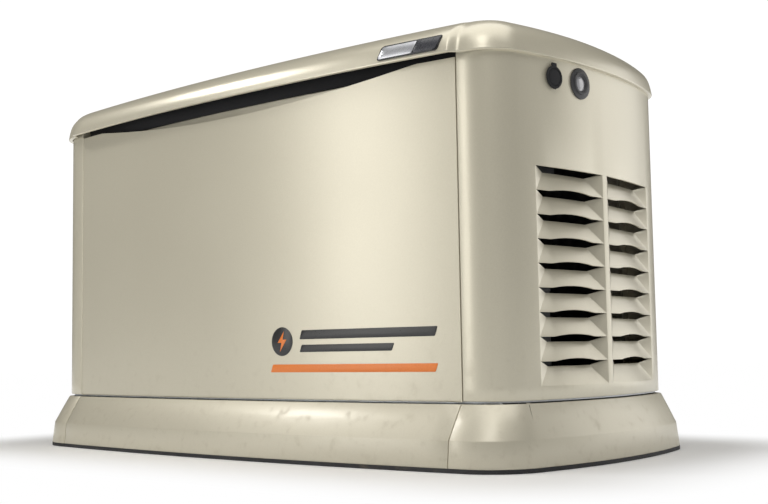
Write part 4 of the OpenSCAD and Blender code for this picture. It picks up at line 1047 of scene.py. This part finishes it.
def hex_bolt(across_flats, place, axis):
    """A hexagon head on a washer face, with its top corners turned off."""
    r = across_flats / math.sqrt(3) * MM
    bm = bmesh.new()
    made = bmesh.ops.create_cone(bm, cap_ends=True, segments=6, radius1=r, radius2=r,
                                 depth=across_flats * 0.6 * MM)["verts"]
    bmesh.ops.translate(bm, vec=(0, 0, across_flats * 0.42 * MM), verts=made)
    top = max(v.co.z for v in bm.verts)
    soften(bm, [e for e in bm.edges if all(v.co.z > top - MM * 0.1 for v in e.verts)], 0.8 * MM)
    washer = turned(scaled([(0, 0), (across_flats * 0.9, 0), (across_flats * 0.9, 1.4),
                            (across_flats * 0.82, 1.8), (0, 1.8)]), 24)
    return stood(joined(bm, washer), place, axis)


# %% [markdown]
# The battery has two lead posts with clamped lugs. The red cable climbs into the control
# box above, and the black one runs to earth on the engine's foot. The case carries a lid
# with a row of vent plugs. All are placed from the battery's and the control box's boxes.

# %% Battery dress
bat_low, bat_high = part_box("battery")
ctl_low, ctl_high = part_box("control_box")
case_low, case_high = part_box("crankcase")
POST_IN, POST_H = 30 * MM, 17 * MM
bat_top = bat_high.z - POST_H
red_post = Vector((bat_high.x - POST_IN, bat_low.y + POST_IN, bat_high.z))
black_post = Vector((bat_low.x + POST_IN, bat_low.y + POST_IN, bat_high.z))


def off(x, y, z):
    """An offset given in millimetres."""
    return Vector((x, y, z)) * MM


def clamp(post):
    collar = stood(band(9.2, 14, 11), post - Vector((0, 0, 7 * MM)), (0, 0, 1))
    lug = bmesh.new()
    block(lug, post + off(-6, 11, -12), post + off(6, 32, -2), 1.5 * MM)
    return joined(collar, lug, hex_bolt(8, post + off(0, 20, -2), (0, 0, 1)))


piece(joined(clamp(red_post), clamp(black_post)), "battery_clamps", "root", "bright_steel")
lead_out = off(0, 30, -6)
red_end = Vector((ctl_low.x + 90 * MM, (ctl_low.y + ctl_high.y) / 2, ctl_low.z + 2 * MM))
piece(tube([red_post + lead_out, red_post + off(0, 52, 6),
            red_post + off(-22, 60, 60), red_end], 6 * MM), "battery_cable_red", "root",
      "red_plastic")
earth = Vector((case_high.x - 6 * MM, case_low.y + 4 * MM, case_low.z + 22 * MM))
piece(tube([black_post + lead_out, black_post + off(-18, 46, 10),
            black_post + off(-80, 26, -30),
            Vector((bat_low.x - 150 * MM, case_low.y - 34 * MM, case_low.z + 60 * MM)),
            earth + off(40, -24, 6), earth], 6 * MM), "battery_cable_black", "root",
      "black_rubber")
bm = bmesh.new()
block(bm, (bat_low.x - 1.5 * MM, bat_low.y - 1.5 * MM, bat_top - 22 * MM),
      (bat_high.x + 1.5 * MM, bat_high.y + 1.5 * MM, bat_top - 14 * MM), 1.2 * MM)
block(bm, (bat_low.x + 22 * MM, bat_high.y - 74 * MM, bat_top - 1 * MM),
      (bat_high.x - 22 * MM, bat_high.y - 34 * MM, bat_top + 4 * MM), 1.5 * MM)
plugs = [stood(turned(scaled([(0, 7), (6, 7), (8, 6), (9, 3), (9, 0)]), 24),
               Vector((x, bat_high.y - 54 * MM, bat_top + 3 * MM)), (0, 0, 1))
         for x in spread(bat_low.x + 36 * MM, bat_high.x - 36 * MM, 5)]
piece(joined(bm, *plugs), "battery_lid", "root", "battery_case")

# %% [markdown]
# Each head has a spark plug with a rubber boot, and its lead runs over the engine to a
# coil by the flywheel. The two heads lean half a right angle to either side, so their
# places come from the heads' boxes, mirrored about the crankshaft.

# %% Ignition
head_low, head_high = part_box("cylinder_heads")
shroud_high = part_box("blower_shroud")[1]
filter_low, filter_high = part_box("air_filter_box")
BANK_STEP, HEAD_HALF = 70 * MM, 42 * MM
plug_z = (head_low.z + head_high.z) / 2
boots, leads, coils = [], [], bmesh.new()
for side, face_x in ((-1, head_high.x - BANK_STEP), (1, head_high.x)):
    plug = Vector((face_x, side * (head_high.y - 55 * MM), plug_z))
    boots.append(stood(turned(scaled([(0, 34), (3.6, 34), (5, 32), (6.2, 20), (8.5, 18), (8.5, 0),
                                      (0, 0)]), 24), plug, (1, 0, 0)))
    coil = Vector((shroud_high.x - 34 * MM, side * 46 * MM, shroud_high.z))
    block(coils, coil + off(-22, -17, -1), coil + off(22, 17, 26), 3 * MM)
    block(coils, coil + off(-9, -23, -1), coil + off(9, 23, 14), 1 * MM)
    leads.append(tube([plug + off(33, 0, 0), plug + off(52, side * 6, 24),
                       Vector((plug.x - 10 * MM, side * (filter_high.y + 34 * MM),
                               filter_low.z - 24 * MM)),
                       coil + off(10, side * 30, 40),
                       coil + off(0, side * 8, 25)], 3.5 * MM))
piece(joined(*boots, *leads), "spark_leads", "root", "black_rubber")
piece(coils, "ignition_coils", "root", "black_plastic")

# %% [markdown]
# Fasteners and trim finish the machinery. The bolt heads sit on the valve covers and on
# the alternator's end bell, a domed cap closes the bearing, straps hold the muffler, and
# clamps close the fuel hose. The alternator's end windings show through its vents.

# %% Bolts, straps and windings
alt_low, alt_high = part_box("alternator_case")
stator_low, stator_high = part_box("stator_core")
muf_low, muf_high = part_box("muffler")
hose_low, hose_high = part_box("fuel_hose")
crank_z = (stator_low.z + stator_high.z) / 2

bolts = []
HEAD_LEAN, COVER_REACH, BOLT_STEP = math.radians(45), 240 * MM, 28 * MM
ALT_BOLT_R = 107 * MM
for side, mid_x in ((-1, head_low.x + HEAD_HALF), (1, head_high.x - HEAD_HALF)):
    out = Vector((0, side * math.sin(HEAD_LEAN), math.cos(HEAD_LEAN)))
    along = Vector((0, math.cos(HEAD_LEAN), -side * math.sin(HEAD_LEAN)))
    for shift in (-BOLT_STEP, BOLT_STEP):
        place = Vector((mid_x, 0, crank_z)) + out * COVER_REACH + along * shift
        bolts.append(hex_bolt(10, place, out))
for quarter in range(4):
    turn_to = math.radians(45 + 90 * quarter)
    place = Vector((alt_high.x, ALT_BOLT_R * math.cos(turn_to),
                    crank_z + ALT_BOLT_R * math.sin(turn_to)))
    bolts.append(hex_bolt(8, place, (1, 0, 0)))
piece(joined(*bolts), "engine_bolts", "root", "bright_steel")

cap = turned(scaled([(0, 13), (12, 12.6), (24, 10.5), (30, 7), (32, 3), (40, 3), (41, 2),
                     (41, -1), (0, -1)]))
piece(stood(cap, Vector((alt_high.x, 0, crank_z)), (1, 0, 0)), "bearing_cap", "root", "zinc_steel")

rings = [stood(turned(scaled([(90, -9), (98, -11), (106, -8), (109, 0), (106, 8), (98, 11), (90, 9),
                              (87, 0), (90, -9)]), 72), Vector((x, 0, crank_z)), (1, 0, 0))
         for x in (stator_low.x - 9 * MM, stator_high.x + 9 * MM)]
piece(joined(*rings), "end_windings", "root", "core_steel", copper)

STRAP_Y, TAIL_OUT = 130 * MM, 25
drum_r = ((muf_high.x - muf_low.x) / MM - TAIL_OUT) / 2
drum = Vector((muf_high.x - drum_r * MM, 0, muf_high.z - drum_r * MM))
straps = [stood(band(drum_r - 0.5, drum_r + 1.6, 26, 0.6), drum + Vector((0, y, 0)), (0, 1, 0))
          for y in (-STRAP_Y, STRAP_Y)]
seam_y = muf_high.y - 5 * MM
rims = [stood(band(drum_r - 1, drum_r + 3, 9, 2.0), drum + Vector((0, y, 0)), (0, 1, 0))
        for y in (-seam_y, seam_y)]
piece(joined(*straps), "muffler_straps", "root", "zinc_steel")
piece(joined(*rims), "muffler_seams", "root", "exhaust_steel")

hose_r = -hose_low.y / MM
hose_top_z = hose_high.z - hose_r * MM
worms = [stood(band(hose_r, hose_r + 1.6, 10, 0.5), place, axis) for place, axis in (
    ((hose_low.x + 14 * MM, 0, hose_top_z), (1, 0, 0)),
    ((hose_high.x - hose_r * MM, hose_high.y - hose_r * MM, hose_low.z + 12 * MM), (0, 0, 1)))]
screw = bmesh.new()
block(screw, (hose_low.x + 9 * MM, -5 * MM, hose_high.z), (hose_low.x + 19 * MM, 7 * MM,
                                                          hose_high.z + 7 * MM), 1 * MM)
piece(joined(*worms, screw), "hose_clamps", "root", "bright_steel")

loom = tube([Vector((ctl_low.x + 24 * MM, ctl_low.y + 60 * MM, ctl_low.z + 1 * MM)),
             Vector((ctl_low.x - 6 * MM, ctl_low.y + 62 * MM, ctl_low.z - 46 * MM)),
             Vector((alt_high.x - 60 * MM, ctl_low.y + 78 * MM, alt_high.z + 4 * MM)),
             Vector((alt_low.x + 40 * MM, -50 * MM, alt_high.z + 4 * MM)),
             Vector((case_high.x - 40 * MM, -46 * MM, case_high.z - 12 * MM))],
            7 * MM, 14, 26, 1.2 * MM)
piece(loom, "wiring_loom", "root", "black_plastic")

# %% [markdown]
# The control box shows a dark display in a raised frame, and three small status lamps.
# The air filter's cover has stiffening ribs and a wing knob. Under the lid a sheet of
# sound foam follows the crown, glued a finger's width inside the rim.

# %% Controls, filter and lid foam
glass = grained("display_glass", (0.020, 0.045, 0.040), (0.010, 0.022, 0.020), 0.10, 400.0, 0.00001,
                Coat_Weight=1.0, Coat_Roughness=0.04)
display_low = Vector((ctl_low.x + 42 * MM, ctl_low.y + 77 * MM, ctl_high.z - 2.5 * MM))
display_high = Vector((ctl_low.x + 148 * MM, ctl_low.y + 123 * MM, ctl_high.z + 0.5 * MM))
bm = bmesh.new()
block(bm, display_low + off(7, 6, 0), display_high - off(7, 6, 0), 0.6 * MM)
piece(bm, "display_window", "root", "black_plastic", glass)
frame_bm = bmesh.new()
for low, high in (((0, 0), (106, 5)), ((0, 41), (106, 46)), ((0, 4), (6, 42)),
                  ((100, 4), (106, 42))):
    block(frame_bm, display_low + off(*low, 0), display_low + off(*high, 5),
          1.2 * MM)
piece(frame_bm, "display_frame", "root", "black_plastic")
lamp_row = ctl_low.y + 62 * MM
for name, step, slot in (("ready", 0, "green_plastic"), ("service", 1, "amber_plastic"),
                         ("fault", 2, "red_plastic")):
    place = Vector((ctl_low.x + (60 + 34 * step) * MM, lamp_row, ctl_high.z))
    dome_cap = turned(scaled([(0, 3.4), (1.6, 3.0), (2.8, 1.8), (3.2, 0), (0, -0.5)]), 20)
    piece(stood(dome_cap, place, (0, 0, 1)), "status_lamp_" + name, "root", slot)

bm = bmesh.new()
for x in spread(filter_low.x + 30 * MM, filter_high.x - 30 * MM, 4):
    if abs(x - (filter_low.x + filter_high.x) / 2) > 12 * MM:
        block(bm, (x - 2 * MM, filter_low.y + 20 * MM, filter_high.z - 20.5 * MM),
              (x + 2 * MM, filter_high.y - 20 * MM, filter_high.z - 6 * MM), 1 * MM)
knob_at = Vector(((filter_low.x + filter_high.x) / 2, 0, filter_high.z - 12 * MM))
knob = stood(turned(scaled([(0, 14), (7, 13.4), (9, 11), (9, 6), (15, 4), (16, 0), (0, 0)]), 32),
             knob_at, (0, 0, 1))
block(knob, knob_at + off(-3, -16, 5), knob_at + off(3, 16, 14), 1.5 * MM)
piece(joined(bm, knob), "filter_cover_ribs", "root", "black_plastic")

FOAM_GAP, FOAM_T = 3.2 * MM, 14 * MM
foam_rows = []
for scale in (0.86, 0.80, 0.65, 0.5, 0.35, 0.2, 0.05):
    drawn_in = [(x * scale, y * scale) for x, y in rim]
    foam_rows.append([(x, y, dome(x, y) - FOAM_GAP) for x, y in drawn_in])
bm, grid = raise_sheet(foam_rows, closed=True)
bmesh.ops.contextual_create(bm, geom=grid[-1])
face_outwards(bm)
piece(bm, "lid_foam", "lid", "black_rubber", foam.material, (), FOAM_T)
print("lid foam hangs", round(FOAM_GAP / MM, 1), "mm under the crown")

# %% [markdown]
# The studio is a white cyclorama: a pale floor that runs far enough to have no edge, a
# bright even sky, and a few large soft panels of light. The panels are what a satin coat
# shows: one bright band on the front, a darker stretch beside it, and stripes that run
# down the round corners.

# %% Studio floor and light
floor_finish = Finish("studio_floor", Roughness=0.6)
floor_tone = floor_finish.noise(1.2, 2.0)
floor_white = floor_finish.blend(floor_tone, (0.90, 0.90, 0.90, 1), (0.93, 0.93, 0.93, 1))
floor_finish.feed("Base Color", floor_white)
floor_finish.feed("Roughness", 0.6 + floor_tone * 0.1)
# A hand's width from the base the floor starts to glow as a lit sweep does, so only a
# narrow soft shadow hugs the machine and no horizon line shows.
base_reach = (base_hl - 0.05, base_hw - 0.05, 10)
folded_place = floor_finish.add("ShaderNodeVectorMath", {"operation": "ABSOLUTE"},
                                {0: floor_finish.place()})
past_base = floor_finish.add("ShaderNodeVectorMath", {"operation": "SUBTRACT"},
                             {0: folded_place["Vector"], 1: base_reach})
outside = floor_finish.add("ShaderNodeVectorMath", {"operation": "MAXIMUM"},
                           {0: past_base["Vector"], 1: (0, 0, 0)})
reach = floor_finish.add("ShaderNodeVectorMath", {"operation": "LENGTH"}, {0: outside["Vector"]})
glow = floor_finish.add("ShaderNodeEmission", {}, {"Strength": 1.0})["Emission"]
body_shader = Field(floor_finish, floor_finish.shader.outputs["BSDF"])
sweep = floor_finish.add("ShaderNodeMixShader", {}, {0: reach["Value"].ramp(0.06, 0.34),
                                                    1: body_shader, 2: glow})["Shader"]
floor_finish.connect(floor_finish.tree.nodes["Material Output"].inputs["Surface"], sweep)
bm = bmesh.new()
bmesh.ops.create_grid(bm, x_segments=8, y_segments=8, size=12.0)
mesh = bpy.data.meshes.new("studio_floor")
bm.to_mesh(mesh)
bm.free()
mesh.materials.append(floor_finish.material)
floor = bpy.data.objects.new("studio_floor", mesh)
bpy.context.scene.collection.objects.link(floor)
floor.location.z = pad_low.z - 0.0005

world = bpy.data.worlds.new("studio_sky")
world.use_nodes = True
SKY_LIGHT = 0.07
sky = world.node_tree.nodes["Background"]
sky.inputs["Color"].default_value = (1.0, 0.99, 0.97, 1)
sky.inputs["Strength"].default_value = SKY_LIGHT
bright = world.node_tree.nodes.new("ShaderNodeBackground")
bright.inputs["Color"].default_value = (1, 1, 1, 1)
bright.inputs["Strength"].default_value = 1.05
chooser = world.node_tree.nodes.new("ShaderNodeMixShader")
seen = world.node_tree.nodes.new("ShaderNodeLightPath")
links = world.node_tree.links
links.new(seen.outputs["Is Camera Ray"], chooser.inputs[0])
links.new(sky.outputs[0], chooser.inputs[1])
links.new(bright.outputs[0], chooser.inputs[2])
links.new(chooser.outputs[0], world.node_tree.nodes["World Output"].inputs["Surface"])
bpy.context.scene.world = world


def light_panel(name, place, target, width, height, power, tint=(1.0, 0.985, 0.96)):
    lamp = bpy.data.lights.new(name, "AREA")
    lamp.shape, lamp.size, lamp.size_y = "RECTANGLE", width, height
    lamp.energy, lamp.color = power, tint
    obj = bpy.data.objects.new(name, lamp)
    obj.location = place
    obj.rotation_euler = (Vector(target) - Vector(place)).to_track_quat("-Z", "Y").to_euler()
    bpy.context.scene.collection.objects.link(obj)
    return obj


light_panel("front_key", (-1.35, -2.75, 0.8), (0.22, -0.28, 0.35), 0.6, 2.4, 20)
light_panel("right_key", (1.5, -2.2, 2.4), (0.35, -0.3, 0.1), 0.8, 0.8, 11)
light_panel("base_gloss", (-1.7, -1.25, 2.1), (0.1, -0.3, 0.1), 0.36, 0.36, 14)
light_panel("end_fill", (2.0, 2.8, 0.9), (0.58, 0, 0.35), 2.2, 2.2, 24)
light_panel("top_soft", (0.6, -0.4, 2.4), (0.1, 0, 0.4), 2.6, 2.6, 42)

# %% [markdown]
# The camera stands low, a little below the lid's height, and looks slightly up along the
# front corner, so the base looks wide and the lid's underside shows at the far end.

# %% Camera
CAMERA_AT = (1.5078, -1.6450, 0.1768)
YAW, PITCH_UP, ROLL, LENS = math.radians(40.34), math.radians(4.91), math.radians(-0.94), 54.29
ahead = Vector((-math.sin(YAW) * math.cos(PITCH_UP), math.cos(YAW) * math.cos(PITCH_UP),
                math.sin(PITCH_UP)))
right = ahead.cross(Vector((0, 0, 1))).normalized()
up = right.cross(ahead)
rolled_right = math.cos(ROLL) * right + math.sin(ROLL) * up
rolled_up = -math.sin(ROLL) * right + math.cos(ROLL) * up
camera_data = bpy.data.cameras.new("camera")
camera_data.lens, camera_data.sensor_width = LENS, 36.0
camera = bpy.data.objects.new("camera", camera_data)
turn = Matrix((rolled_right, rolled_up, -ahead)).transposed().to_4x4()
camera.matrix_world = Matrix.Translation(CAMERA_AT) @ turn
bpy.context.scene.collection.objects.link(camera)
bpy.context.scene.camera = camera
bpy.context.scene.view_settings.view_transform = "Standard"

# %% Update the scene
bpy.context.view_layer.update()
